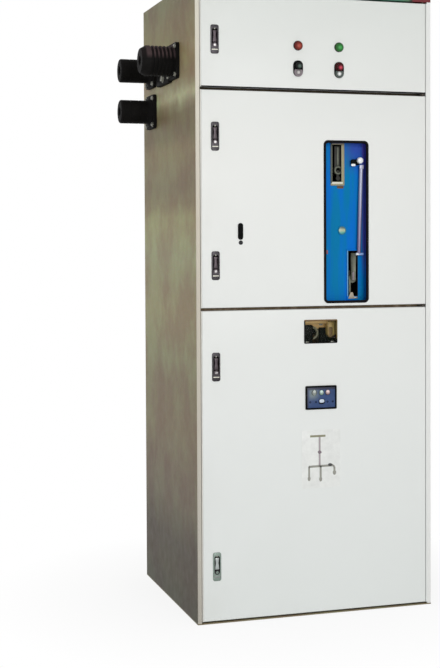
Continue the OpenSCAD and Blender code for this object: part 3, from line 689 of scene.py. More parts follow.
@once
def dark_steel():
    """Blackened steel with a trace of oil and rust."""
    metal = Finish("Blackened steel", 0.42, 0.6, Specular_IOR_Level=0.2)
    rust = metal.span(metal.noise(55, 5), 0, 1, 0.58, 0.75)
    metal.colour(metal.mix(rust, (0.02, 0.02, 0.022), (0.05, 0.032, 0.022)))
    metal.gloss(0.3, 0.6, 90, 4)
    metal.grain(0.00003, 600, 3)
    return metal


@once
def cast_grey():
    """Cast lever: olive grey with a sandy skin."""
    metal = Finish("Cast lever", 0.5, 0.5)
    metal.mottle((0.06, 0.062, 0.045), (0.15, 0.16, 0.12), 80, 4)
    metal.gloss(0.4, 0.65, 60, 4)
    metal.grain(0.00008, 900, 4)
    return metal


@once
def bright_steel():
    """Plated rod: lavender above, darker and mauve towards its foot."""
    low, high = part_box("interlock_rod")
    metal = plated("Bright steel", (0.4, 0.4, 0.4), 0.4, (1, 1, 0.05), 0.35)
    fade = metal.ramp(along(metal, "Z", low.z, high.z),
        [(0.0, (0.2, 0.15, 0.26)), (0.45, (0.3, 0.27, 0.4)), (0.75, (0.4, 0.42, 0.55)),
        (1.0, (0.48, 0.48, 0.6))])
    metal.colour(metal.mix(1.0, fade, metal.mix(metal.noise(60, 3, (1, 1, 0.3)), (0.82, 0.82, 0.82),
        (1, 1, 1)), "MULTIPLY"))
    return metal


bolt_steel = plating("Zinc-plated bolts", (0.24, 0.24, 0.21), 0.34)
hinge_steel = plating("Hinge steel", (0.06, 0.05, 0.04), 0.45, (1, 1, 0.1), 0.6)


@once
def lock_case():
    """Dark chrome on a zinc casting, rubbed brighter in places."""
    return lock_plating("Lock case", paint("lock_case"))


@once
def bright_case():
    """The same casting where its chrome is still pale."""
    return lock_plating("Pale lock case", paint("pale_lock"))


def lock_plating(name, colour):
    metal = Finish(name, 0.34, 0.7, Specular_IOR_Level=0.3)
    rubbed = metal.span(metal.noise(150, 4), 0, 0.5, 0.55, 0.75)
    metal.colour(metal.mix(rubbed, colour, shade(colour, 2.2)))
    metal.gloss(0.26, 0.5, 160, 4)
    metal.grain(0.00001, 900, 3)
    return metal


lock_lever = plating("Lock lever", (0.05, 0.038, 0.044), 0.36, (1, 1, 0.08), 0.6)
pale_lever = plating("Pale lock lever", (0.36, 0.39, 0.38), 0.34, (1, 1, 0.08), 0.7)
lock_button = plating("Lock key button", (0.24, 0.23, 0.23), 0.26)
black_plastic = moulding("Black plastic", (0.003, 0.0035, 0.0035), 0.42, Specular_IOR_Level=0.03)


@once
def window_moulding():
    """Frame of the window: amber above and at its right, black elsewhere."""
    low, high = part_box("window_frame")
    frame = moulded("Window moulding", (0.004, 0.004, 0.005), 0.45, Specular_IOR_Level=0.05)
    dark = frame.mix(frame.noise(60, 3), (0.003, 0.003, 0.004), (0.006, 0.006, 0.006))
    right = frame.mix(frame.span(along(frame, "X", high.x - 0.0055, high.x - 0.003), 0, 0.9), dark,
        (0.2, 0.15, 0.055))
    foot = frame.mix(along(frame, "Z", low.z + 0.022, low.z + 0.012), right, dark)
    frame.colour(frame.mix(along(frame, "Z", high.z - 0.005, high.z - 0.0035), foot, (0.2, 0.125, 0.06)))
    return frame


pale_strip = moulding("Pale strip", (0.74, 0.73, 0.68), 0.5)
grey_plastic = moulding("Grey plastic", (0.2, 0.165, 0.18), 0.4)
cream_plastic = moulding("Cream plastic", (0.72, 0.7, 0.6), 0.35)
white_plastic = moulding("White plastic", (0.93, 0.93, 0.92), 0.28)
red_plastic = moulding("Red plastic", (0.3, 0.1, 0.12), 0.34, Specular_IOR_Level=0.2)
ring_plastic = moulding("Ring plastic", (0.06, 0.08, 0.07), 0.4, Specular_IOR_Level=0.3)
olive_insulator = moulding("Olive insulator", (0.26, 0.25, 0.16), 0.4, Specular_IOR_Level=0.3)
brown_insulator = moulding("Brown insulator", (0.06, 0.012, 0.008), 0.4, Specular_IOR_Level=0.2)
brown_plastic = moulding("Brown tab", (0.13, 0.065, 0.025), 0.45, Specular_IOR_Level=0.2)
mimic_shade = moulding("Mimic dark mauve", (0.17, 0.13, 0.15), 0.5)


@once
def amber():
    """Contact blade behind the window: amber, in upright streaks."""
    blade = moulded("Amber contact", (0.9, 0.68, 0.28), 0.4)
    streaks = blade.span(blade.noise(190, 3, (1, 1, 0.05)), 0, 1, 0.4, 0.6)
    blade.colour(blade.mix(streaks, (0.5, 0.31, 0.09), (1.0, 0.76, 0.25)))
    return blade


ochre_contact = moulding("Worn contact", (0.3, 0.2, 0.09), 0.45, Specular_IOR_Level=0.2)
olive_ink = moulding("Mimic bus line", (0.23, 0.225, 0.14), 0.5)
dark_red_plastic = moulding("Dark red plastic", (0.045, 0.002, 0.003), 0.36, Specular_IOR_Level=0.08)
pale_blue_coat = moulding("Worn blue paint", (0.1, 0.31, 0.5), 0.4)


@once
def blue_plastic():
    """Face of the display: navy, with painted shade along its top and left edges under the raised border, hazy
    round the first lamp.
    """
    low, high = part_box("voltage_display")
    face = moulded("Display face", paint("display"), 0.36, Specular_IOR_Level=0.3)
    navy = face.mix(face.noise(60, 4), shade(paint("display"), 0.7), shade(paint("display"), 1.35))
    hazy = product(face, along(face, "X", 0.012, -0.012), along(face, "X", low.x + 0.008, low.x + 0.02))
    haze = product(face, hazy, along(face, "Z", 0.735, 0.752))
    misty = face.mix(face.span(haze, 0, 0.7), navy, (0.2, 0.25, 0.23))
    # Painted shade: dark navy along the face's top and left edges
    lit = product(face, along(face, "Z", high.z - 0.011, high.z - 0.016),
        along(face, "X", low.x + 0.007, low.x + 0.013))
    face.colour(face.mix(lit, (0.02, 0.024, 0.05), misty))
    return face


@once
def rubber():
    """Black edging rubber, matt, with a dusty bloom."""
    skin = Finish("Edging rubber", 0.6, Specular_IOR_Level=0.05)
    skin.mottle((0.003, 0.003, 0.004), (0.009, 0.008, 0.01), 90, 4)
    skin.gloss(0.5, 0.75, 40, 4)
    skin.grain(0.00003, 1200, 3)
    return skin


@once
def resin():
    """Black cast resin: glossy in places, with painted brown-purple highlights on the rib crests of the front
    bushing's upper half.
    """
    cast = Finish("Cast resin", 0.4, Specular_IOR_Level=0.015)
    black = cast.mix(cast.noise(18, 4), (0.004, 0.004, 0.0035), (0.016, 0.015, 0.015))
    low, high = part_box("front_bushing")
    radial = cast.add("ShaderNodeVectorMath", operation="DISTANCE")
    flat = cast.add("ShaderNodeVectorMath", operation="MULTIPLY")
    flat.inputs[1].default_value = (0, 1, 1)
    radial.inputs[1].default_value = (0, (low.y + high.y) / 2, (low.z + high.z) / 2)
    cast.link(cast.where, "Object", flat, 0)
    cast.link(flat, "Vector", radial, 0)
    # Painted highlight on the rib crests of the front bushing's upper half
    crest = cast.span((radial, "Value"), 0.1, 1, 0.0487, 0.052)
    lit = product(cast, along(cast, "Z", 1.908, 1.925), cast.span((radial, "Value"), 1, 0, 0.0585, 0.0595))
    cast.colour(cast.mix(product(cast, crest, lit), black, (0.075, 0.052, 0.054)))
    cast.gloss(0.4, 0.62, 70, 4)
    cast.grain(0.00003, 500, 3)
    return cast


@once
def copper():
    """Copper bar with brown tarnish and brushed faces."""
    bar = Finish("Copper bar", 0.28, 1.0)
    bar.mottle((0.72, 0.36, 0.17), (0.42, 0.2, 0.09), 16, 5)
    bar.gloss(0.2, 0.42, 300, 3, (0.06, 1, 1))
    bar.grain(0.00002, 500, 2, (0.06, 1, 1))
    return bar


brass = plating("Brass contact bar", (0.85, 0.56, 0.22), 0.4, (0.06, 1, 1), 0.2)


@once
def indicator_face():
    """Disc of the position indicator: dusky above, pale green in the middle, sea green below."""
    disc = Finish("Indicator disc", 0.35)
    low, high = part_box("position_indicator")
    bands = disc.ramp(along(disc, "Z", low.z, high.z),
        [(0.1, (0.03, 0.3, 0.29)), (0.3, (0.13, 0.42, 0.34)), (0.45, (0.42, 0.52, 0.34)),
        (0.62, (0.42, 0.47, 0.3)), (0.78, (0.09, 0.15, 0.15))])
    disc.colour(disc.mix(1.0, bands, disc.mix(disc.noise(220, 3), (0.85, 0.85, 0.85), (1, 1, 1)), "MULTIPLY"))
    disc.gloss(0.28, 0.45, 150, 3)
    disc.grain(0.00001, 900, 2)
    return disc


@once
def mimic_face():
    return moulded("Mimic plate", paint("mimic_plate"), 0.45)


mimic_ink = moulding("Mimic lines", (0.27, 0.27, 0.235), 0.5)
mimic_mauve = moulding("Mimic mauve lines", (0.36, 0.32, 0.33), 0.5)
mimic_arrow = moulding("Mimic arrow", (0.03, 0.03, 0.03), 0.5)


@once
def safety_glass():
    """Clear window sheet, faintly green, with light wiping marks."""
    glass = Finish("Window sheet", 0.05, Alpha=0.12, Specular_IOR_Level=0.15)
    glass.mottle((0.01, 0.016, 0.01), (0.03, 0.04, 0.03), 30, 3)
    glass.gloss(0.04, 0.12, 60, 4, (0.3, 1, 1))
    glass.grain(0.00002, 12, 2)
    return glass


def lens(name, centre, core, rim, roughness=0.16, reach=0.014, fall=0.5):
    """Coloured lens plastic with a painted highlight: lighter round a centre point, darker towards the rim."""
    plastic = Finish(name, roughness, Specular_IOR_Level=0.12)
    shift = plastic.add("ShaderNodeVectorMath", operation="DISTANCE")
    plastic.link(plastic.where, "Object", shift, 0)
    shift.inputs[1].default_value = centre
    # Painted highlight: the colour runs from the light core at the centre point to the dark rim
    ball = plastic.span((shift, "Value"), 0, 1, reach * 0.25, reach)
    tone = plastic.ramp(ball, [(0.0, core), (0.35, shade(core, fall)), (1.0, rim)])
    plastic.colour(plastic.mix(1.0, tone, plastic.mix(plastic.noise(200, 2), (0.92, 0.92, 0.92), (1, 1, 1)),
        "MULTIPLY"))
    plastic.gloss(roughness - 0.04, roughness + 0.06, 300, 2)
    plastic.grain(0.00001, 700, 1)
    return plastic.material


# ---- sizes and colours that a user may change

def length(name, description, default):
    return bpy.props.FloatProperty(name=name, description=description, default=default, min=0, unit="LENGTH",
        subtype="DISTANCE")


def tint(name, description, default):
    return bpy.props.FloatVectorProperty(name=name, description=description, default=default, size=3, min=0,
        max=1, subtype="COLOR_GAMMA")


class CubiclePaints(bpy.types.PropertyGroup):
    """Colours of the cubicle's finishes, as display values."""
    door: tint("Doors", "Powder coat of the three doors", (0.9, 0.905, 0.895))
    side_sheet: tint("Sides", "Sheet of the sides, top and back", (0.62, 0.605, 0.49))
    inner_sheet: tint("Inside", "Galvanized shelves and partitions", (0.66, 0.66, 0.63))
    header_green: tint("Header", "Main field of the header", (0.26, 0.47, 0.38))
    header_red: tint("Header end", "Field at the header's right end", (0.42, 0.1, 0.13))
    blue_panel: tint("Operating panel", "Face of the operating panel", (0.02, 0.42, 0.72))
    slot_frame: tint("Slot frames", "Frames of the operating slots", (0.56, 0.52, 0.42))
    lock_case: tint("Lock cases", "Cases of the flush locks", (0.2, 0.19, 0.2))
    pale_lock: tint("Pale lock case", "Case of the lowest lock", (0.47, 0.52, 0.49))
    post_edge: tint("Post edges", "Painted front edges of the side panels", (0.76, 0.745, 0.7))
    rail: tint("Rails", "Rails and crossbars behind the doors", (0.2, 0.165, 0.12))
    display: tint("Voltage display", "Face of the voltage display", (0.18, 0.27, 0.44))
    mimic_plate: tint("Mimic plate", "Plate with the circuit's symbols", (0.893, 0.9, 0.888))
    studio_floor: tint("Floor", "Colour of the studio floor", (0.93, 0.93, 0.93))


class CubicleSizes(bpy.types.PropertyGroup):
    """Sizes that the finishing pieces add to the frame's own."""
    sheet: length("Sheet", "Thickness of folded sheet", SHEET)
    fold: length("Fold radius", "Outside radius of a door's folded edges", 0.003)
    door_lip: length("Door lip", "Width of the lip folded in behind a door", 0.012)
    stiffener: length("Stiffener", "Width of the stiffeners inside a door", 0.05)
    bolt: length("Bolt", "Width across a flange bolt's flats", 0.013)
    cover_screw: length("Cover screw", "Radius of a cover screw's head", 0.006)
    screw_pitch: length("Screw pitch", "Distance between the screws of a cover", 0.17)
    line: length("Line width", "Width of the lines on the mimic plate", 0.0022)


class CubicleStudio(bpy.types.PropertyGroup):
    """Light of the studio."""
    ambient: bpy.props.FloatProperty(name="Ambient", description="Strength of the even light", default=0.4,
        min=0)
    front: bpy.props.FloatProperty(name="Front lamp", description="Power of the large lamp in front",
        default=199, min=0, subtype="POWER", unit="POWER")
    side: bpy.props.FloatProperty(name="Side lamp", description="Power of the lamp at the left", default=14,
        min=0, subtype="POWER", unit="POWER")


def sizes():
    return bpy.context.scene.cubicle_sizes


def middle(node):
    """Centre of a CAD node's box."""
    low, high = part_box(node)
    return (low + high) / 2


def around(node):
    """Corners, centre and size of a CAD node's box."""
    return (*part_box(node), middle(node), extent(node))


def extent(node):
    """Size of a CAD node's box."""
    low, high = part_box(node)
    return high - low


# ---- small parts that repeat

def hex_bolt(name, across, height, washer):
    """A hexagon head on a washer, standing on the floor of its own frame."""
    clear_selection()
    bpy.ops.mesh.primitive_cylinder_add(vertices=6, radius=across / math.sqrt(3), depth=height,
        location=(0, 0, height / 2 + 0.0015))
    head = named(name)
    settle(head)
    round_edges(head, lambda m, w: abs(m.z - height - 0.0015) < 1e-6, across * 0.07, 2)
    ring = turned(name + "_washer", [(0, washer), (0.0013, washer), (0.0016, washer - 0.0004),
        (0.0016, 0.001)], 28)
    return join(name, [head, ring])


def pan_screw(name, radius, height, point="-Y"):
    """A domed screw head with a cross recess."""
    head = turned(name, [(0, radius), (height * 0.35, radius), (height * 0.75, radius * 0.84),
        (height, radius * 0.5), (height, 0.0001)], 24)
    for turn in (0, math.pi / 2):
        slot = block("slot", (-radius * 0.55, -radius * 0.1, height * 0.45),
            (radius * 0.55, radius * 0.1, height * 2))
        slot.rotation_euler.z = turn + math.pi / 4
        settle(slot)
        cut(head, slot)
    return place(head, (0, 0, 0), point)


def spread(piece, name, spots):
    """Copies a piece made at the origin to several spots and throws the first away."""
    copies = [copy_to(piece, f"{name}_{number}", spot) for number, spot in enumerate(spots, 1)]
    drop(piece)
    return copies


def bolt_row(bolt, name, spots):
    """Copies a bolt to its spots on the cabinet."""
    for head in spread(bolt, name, spots):
        finish(head, bolt_steel(), "bright_steel")


def rod(name, start, end, radius, sides=24):
    """A round rod between two points, with broken ends."""
    start, end = Vector(start), Vector(end)
    span = (end - start).length
    piece = turned(name, [(0, radius * 0.8), (radius * 0.2, radius), (span - radius * 0.2, radius),
        (span, radius * 0.8)], sides)
    turn = (end - start).to_track_quat("Z", "Y").to_matrix().to_4x4()
    piece.matrix_world = Matrix.Translation(start) @ turn
    return settle(piece)


# ---- doors and header

def door_tray(name, node):
    """A face folded back on all four sides, with a lip behind."""
    low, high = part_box(node)
    piece = block(name, low, high)
    round_edges(piece, lies("y", low.y), sizes().fold, 4)
    edit(piece, "FACE")
    pick_faces(piece, lambda m, n: n.y > 0.9)
    bpy.ops.mesh.inset(thickness=sizes().door_lip)
    bpy.ops.mesh.delete(type="FACE")
    close_edit()
    thicken(piece, True)
    for z in (low.z, high.z):
        bore = turned("bore", [(-0.006, 0.0031), (0.006, 0.0031)], 24)
        cut(piece, place(bore, (HINGE_X, HINGE_Y, z)))
    return piece


def lock_hole(lock):
    return plate_hole(lock, 0.0015, 0.004)


def plate_hole(node, lap, corner):
    """A cutter for an opening that the node's rim covers by its lap."""
    spot, size = middle(node), extent(node)
    width, height = size.x - 2 * lap, size.z - 2 * lap
    return slab("hole", spot.x, spot.z, width, height, corner, FRONT + 0.02, FRONT - 0.02)


def round_hole(node):
    spot = middle(node)
    bore = turned("hole", [(-0.02, 0.01125), (0.02, 0.01125)], 40)
    return place(bore, (spot.x, FRONT, spot.z), "-Y")


def door_stiffener(name, node, x):
    """A hat section welded inside the door's face."""
    low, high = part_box(node)
    half = sizes().stiffener / 2
    face = low.y + sizes().sheet
    bar = block(name, (x - half, face, low.z + 0.03), (x + half, face + 0.016, high.z - 0.03))
    edit(bar, "FACE")
    pick_faces(bar, lambda m, n: n.y > 0.9)
    widen(0.62, (x, face + 0.016, (low.z + high.z) / 2))
    close_edit()
    round_edges(bar, lambda m, w: m.y > face + 0.015 and abs(w.z) > 0.9, 0.002, 2)
    return bar


class CUBICLE_OT_doors(bpy.types.Operator):
    """Folds the three door trays, cuts what goes through them and adds their stiffeners"""
    bl_idname = "cubicle.doors"
    bl_label = "Doors"

    def execute(self, context):
        sheet = sizes().sheet
        openings = {
            "top_door": [lock_hole("top_door_lock")]
            + [round_hole(node) for node in ("red_lamp", "green_lamp", "black_button", "red_button")],
            "middle_door": [lock_hole("middle_door_upper_lock"), lock_hole("middle_door_lower_lock"),
                            plate_hole("panel_edging", sheet, 0.014),
                            plate_hole("door_latch", 0.003, 0.003)],
            "lower_door": [lock_hole("lower_door_upper_lock"), lock_hole("lower_door_lower_lock"),
                           plate_hole("window_frame", 0.003, 0.003),
                           plate_hole("voltage_display", 0.006, 0.003)],
        }
        bars = {"top_door": (-0.18, 0.24), "middle_door": (-0.16, 0.3), "lower_door": (-0.2, 0.22)}
        for door, holes in openings.items():
            tray = door_tray(door + "_panel", door)
            cut(tray, *holes)
            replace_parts(finish(tray, door_coat(), "door_paint", body=door), door)
            for number, x in enumerate(bars[door], 1):
                bar = door_stiffener(f"{door}_stiffener_{number}", door, x)
                finish(bar, door_coat(), "door_paint", body=door)
        return {"FINISHED"}


class CUBICLE_OT_header(bpy.types.Operator):
    """Folds the header plate over the doors"""
    bl_idname = "cubicle.header"
    bl_label = "Header"

    def execute(self, context):
        low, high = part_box("header_plate")
        sheet = sizes().sheet
        back = low.y + sheet
        face = block("header_face", low, (high.x, back, high.z))
        round_edges(face, lies("y", low.y), 0.0012, 3)
        fold = block("header_fold", (low.x + 0.015, back, low.z), (high.x - 0.015, high.y, high.z))
        edit(fold, "FACE")
        pick_faces(fold, lambda m, n: abs(n.y) > 0.9)
        bpy.ops.mesh.delete(type="FACE")
        close_edit()
        thicken(fold)
        plate = join("header_panel", [face, fold])
        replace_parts(finish(plate, header_coat(), "header_paint"), "header_plate")
        return {"FINISHED"}


class CUBICLE_OT_jamb_strips(bpy.types.Operator):
    """Fits a strip down the hinged jamb, a trim on each door's free edge and a dark edging under the top door
    as painted shade that widens the seam below it
    """
    bl_idname = "cubicle.jamb_strips"
    bl_label = "Jamb strips"

    def execute(self, context):
        low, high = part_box("lower_door")[0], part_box("top_door")[1]
        jamb = high.x + 0.0055
        strip = block("jamb_strip", (jamb - 0.0044, FRONT + 0.0005, low.z),
            (jamb + 0.001, FRONT + 0.0015, high.z))
        round_edges(strip, lambda m, w: abs(w.z) > 0.9 and m.y < FRONT + 0.001, 0.0003, 2)
        finish(strip, door_coat(), "door_paint")
        for door in ("lower_door", "middle_door", "top_door"):
            low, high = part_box(door)
            strip = block(door + "_trim", (low.x - 0.0031, FRONT + 0.0004, low.z),
                (low.x, FRONT + 0.018, high.z))
            round_edges(strip, lambda m, w: abs(w.z) > 0.9 and m.y < FRONT + 0.001, 0.0006, 3)
            finish(strip, pale_strip(), "door_paint", body=door)
        # The dark edging stands as painted shade in the seam under the top door
        low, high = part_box("top_door")
        edging = block("top_door_shade_edging", (low.x + 0.001, low.y - 0.0005, low.z - 0.0008),
            (high.x - 0.0005, low.y + 0.004, low.z + 0.003))
        cut(edging, block("groove", (low.x - 0.01, low.y, low.z),
            (high.x + 0.01, low.y + 0.01, low.z + 0.01)))
        soften(edging, 0.0002, 2)
        finish(edging, rubber(), "rubber_edging", body="top_door")
        return {"FINISHED"}


# ---- fittings on the doors

LOCKS = {"top_door_lock": "top_door", "middle_door_upper_lock": "middle_door",
         "middle_door_lower_lock": "middle_door", "lower_door_upper_lock": "lower_door",
         "lower_door_lower_lock": "lower_door"}


def lock_handle(spot, size, front):
    """A handle that lies in the case: waisted in the middle, thicker at its free end."""
    base, top = spot.z - 0.0095, spot.z + size.z / 2 - 0.018
    handle = block("lever", (spot.x - 0.0075, front + 0.001, base), (spot.x + 0.0075, FRONT + 0.008, top))
    edit(handle, "EDGE")
    for height in (0.3, 0.55, 0.8):
        pick_all()
        bpy.ops.mesh.bisect(plane_co=(0, 0, base + (top - base) * height), plane_no=(0, 0, 1))
    close_edit()
    edit(handle, "FACE")
    for height, width in ((0.55, 0.66), (0.3, 0.86), (0.8, 0.8)):
        level = base + (top - base) * height
        bpy.ops.mesh.select_all(action="DESELECT")
        mesh = bmesh.from_edit_mesh(handle.data)
        for vert in mesh.verts:
            vert.select_set(abs(vert.co.z - level) < 1e-5)
        bmesh.update_edit_mesh(handle.data)
        bpy.ops.mesh.select_mode(type="VERT")
        widen(width, (spot.x, 0, level))
    close_edit()
    soften(handle, 0.0018, 3, 40)
    return handle


class CUBICLE_OT_locks(bpy.types.Operator):
    """Makes one flush lock of case, lever, key button and screw, and copies it to its five places"""
    bl_idname = "cubicle.locks"
    bl_label = "Flush locks"

    def execute(self, context):
        first = next(iter(LOCKS))
        spot, size = middle(first), extent(first)
        rim, front = FRONT - 0.003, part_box(first)[0].y
        foot = spot.z - size.z / 2
        case = pad("case", spot, size, 0, 0.007, FRONT, rim, 0.0012)
        body = pad("body", spot, size, 0.004, 0.005, FRONT + 0.02, FRONT - 0.001)
        case = join("case", [case, body])
        well = slab("well", spot.x, spot.z + 0.006, size.x - 0.0085, size.z - 0.036, 0.006, FRONT + 0.009,
            rim - 0.01)
        cut(case, well)
        lever = lock_handle(spot, size, front)
        boss = turned("boss", [(-0.012, 0.0085), (0.0006, 0.0085), (0.0014, 0.0076), (0.0014, 0.0052),
            (0.0004, 0.0048), (0.0004, 0.0001)], 36)
        place(boss, (spot.x, front + 0.002, foot + 0.029), "-Y")
        core = turned("core", [(-0.001, 0.0046), (0.001, 0.0046), (0.0016, 0.0038), (0.0016, 0.0001)], 32)
        cut(core, block("keyway", (-0.0005, -0.003, 0.0002), (0.0005, 0.003, 0.004)))
        place(core, (spot.x, front + 0.0016, foot + 0.029), "-Y")
        screw = pan_screw("screw", 0.0032, 0.0018)
        screw = spread(screw, "screw", [(spot.x, front + 0.0024, spot.z + size.z / 2 - 0.0127)])[0]
        # The pale sill is a painted highlight along the foot of the lock
        sill = slab("sill", spot.x, foot + 0.014, size.x - 0.007, 0.0034, 0.001, FRONT, rim - 0.0006, 0.0004)
        kinds = {"case": (case, lock_case, bright_case), "lever": (lever, lock_lever, pale_lever),
                 "boss": (boss, lock_lever, lock_case), "core": (core, lock_button, bright_case),
                 "screw": (screw, bolt_steel, bolt_steel), "sill": (sill, cream_plastic, lock_button)}
        for lock, door in LOCKS.items():
            shift = middle(lock) - spot
            for part, (piece, usual, pale) in kinds.items():
                twin = copy_to(piece, f"{lock}_{part}", shift)
                material = pale() if lock == "lower_door_lower_lock" else usual()
                finish(twin, material, "lock_metal", body=door)
                if part == "case":
                    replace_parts(twin, lock)
        for piece, usual, pale in kinds.values():
            drop(piece)
        return {"FINISHED"}


def lens_dome(name, radius, height):
    """A lens that rises straight, then rounds over, with shallow rings moulded in it."""
    rings = [(0.001, radius), (0.004, radius)]
    steps = 14
    for step in range(1, steps):
        turn = math.pi / 2 * step / steps
        ridge = 0.00035 * (step % 2)
        rings.append((0.004 + (height - 0.004) * math.sin(turn), radius * math.cos(turn) + ridge))
    return turned(name, rings + [(height, 0.0001)], 40)


class CUBICLE_OT_lamps(bpy.types.Operator):
    """Turns the signal lamps: bezel, threaded body, nut and a ribbed lens"""
    bl_idname = "cubicle.lamps"
    bl_label = "Signal lamps"

    def execute(self, context):
        # Lens colours: a painted highlight, light in the core and dark at the rim
        colours = {"red_lamp": ((0.43, 0.075, 0.05), (0.1, 0.01, 0.012), "red_lens"),
                   "green_lamp": ((0.06, 0.36, 0.08), (0.035, 0.1, 0.03), "green_lens")}
        for node, (core, rim, slot) in colours.items():
            low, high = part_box(node)
            spot, radius = middle(node), (high.x - low.x) / 2
            bezel = turned(node + "_bezel", [(-0.001, radius), (0.0024, radius), (0.0032, radius - 0.0005),
                (0.0032, radius - 0.0008), (0.0022, radius - 0.001), (0.0022, 0.0118), (-0.001, 0.0118)], 48,
                bore=True)
            place(bezel, (spot.x, FRONT - 0.0008, spot.z), "-Y")
            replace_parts(finish(bezel, dark_steel(), "lock_metal", body="top_door"), node)
            body = [(-(high.y - FRONT), 0.0109), (-0.012, 0.0109)]
            body += [(-0.012 + 0.001 * step, 0.0109 - 0.0006 * (step % 2)) for step in range(1, 11)]
            thread = turned(node + "_body", body + [(0.0005, 0.0109)], 36)
            finish(place(thread, (spot.x, FRONT, spot.z), "-Y"), black_plastic(), "black_plastic",
                body="top_door")
            nut = hex_bolt(node + "_nut", 0.027, 0.004, 0.0135)
            finish(place(nut, (spot.x, FRONT + 0.0022, spot.z), "+Y"), bolt_steel(), "bright_steel",
                body="top_door")
            glow = lens_dome(node + "_lens", radius - 0.0011, FRONT - low.y)
            place(glow, (spot.x, FRONT, spot.z), "-Y")
            # The painted highlight sits right of and below the lamp's middle
            centre = (spot.x + 0.001, low.y + 0.002, spot.z - 0.0015)
            finish(glow, lens(node + " lens", centre, core, rim, reach=0.0165, fall=0.5), slot, 60,
                body="top_door")
        return {"FINISHED"}


class CUBICLE_OT_stations(bpy.types.Operator):
    """Makes the push-button stations: bezel, collar and a pearl lens in a ring"""
    bl_idname = "cubicle.stations"
    bl_label = "Push-button stations"

    def execute(self, context):
        for node, button, shell, rim, slot, pale in (
                ("black_station", "black_button", black_plastic, grey_plastic, "black_plastic",
                 (0.6, 0.57, 0.56)),
                ("red_station", "red_button", dark_red_plastic, ring_plastic, "red_plastic",
                 (0.95, 0.97, 0.95))):
            low, high, spot, size = around(node)
            seat = middle(button)
            plate = pad(node + "_bezel", spot, size, 0, size.x / 2 - 0.001, FRONT, FRONT - 0.005, 0.0016, 12)
            shaft = turned("shaft", [(-0.004, 0.0084), (0.03, 0.0084)], 36)
            cut(plate, place(shaft, (seat.x, FRONT + 0.004, seat.z), "-Y"))
            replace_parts(finish(plate, black_plastic(), "black_plastic", body="top_door"), node)
            body = turned(node + "_body", [(-0.045, 0.0084), (-0.045, 0.011), (0.0, 0.011), (0.0, 0.0084)],
                36, True)
            finish(place(body, (seat.x, FRONT, seat.z), "-Y"), black_plastic(), "black_plastic",
                body="top_door")
            collar = slab(node + "_collar", seat.x, seat.z + 0.0015, 0.031, 0.029, 0.0135, FRONT - 0.005,
                FRONT - 0.0075, 0.001, 10)
            bore = turned("bore", [(-0.02, 0.0115), (0.02, 0.0115)], 44)
            cut(collar, place(bore, (seat.x, FRONT, seat.z), "-Y"))
            finish(collar, shell(), slot, body="top_door")
            foot, limit = low.z + 0.0142, seat.z - 0.0132
            ring = turned(node + "_ring", [(0, 0.0152), (0.0012, 0.0152), (0.0024, 0.014), (0.0026, 0.0118),
                (0.0016, 0.0084), (0, 0.0078)], 52, True)
            pearl = turned(node + "_pearl", [(0, 0.0078), (0.001, 0.0077), (0.0014, 0.0056), (0.0024, 0.0052),
                (0.0029, 0.0036), (0.003, 0.0001)], 40)
            centre = (spot.x, FRONT - 0.008, foot - 0.001)
            glint = lens(node + " pearl", centre, pale, shade(pale, 0.3), 0.3, 0.0085, 0.8)
            for piece, material, kind in ((ring, rim(), "black_plastic"), (pearl, glint, "cream_plastic")):
                place(piece, (spot.x, FRONT - 0.005, foot), "-Y")
                cut(piece, block("above", (low.x, FRONT - 0.02, limit), (high.x, FRONT + 0.02, high.z)))
                finish(piece, material, kind, 60, body="top_door")
        return {"FINISHED"}


class CUBICLE_OT_buttons(bpy.types.Operator):
    """Turns the two push buttons: a dished cap on a stem"""
    bl_idname = "cubicle.buttons"
    bl_label = "Push buttons"

    def execute(self, context):
        for node, core, rim, slot in (
                ("black_button", (0.085, 0.13, 0.105), (0.001, 0.0025, 0.002), "black_plastic"),
                ("red_button", (0.62, 0.055, 0.1), (0.05, 0.002, 0.004), "red_plastic")):
            low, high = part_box(node)
            spot, radius = middle(node), (high.x - low.x) / 2
            cap, stem = 0.0045, radius - 0.003
            button = turned(node + "_cap", [(-(high.y - low.y), stem - 0.0006),
                (-(high.y - low.y) + 0.0006, stem), (-cap, stem), (-cap, radius - 0.0006),
                (-cap + 0.0006, radius), (-0.0016, radius), (-0.0005, radius - 0.0005), (0, radius - 0.0016),
                (-0.0003, radius * 0.6), (-0.0009, radius * 0.3), (-0.001, 0.0001)], 48)
            place(button, (spot.x, low.y, spot.z), "-Y")
            # Cap colour: a painted highlight round a point right of and below the middle, dark at the rim
            centre = (spot.x + 0.002, low.y, spot.z - 0.002)
            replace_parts(finish(button, lens(node + " cap", centre, core, rim, 0.3, 0.009, 0.55), slot, 50,
                body=node), node)
        return {"FINISHED"}


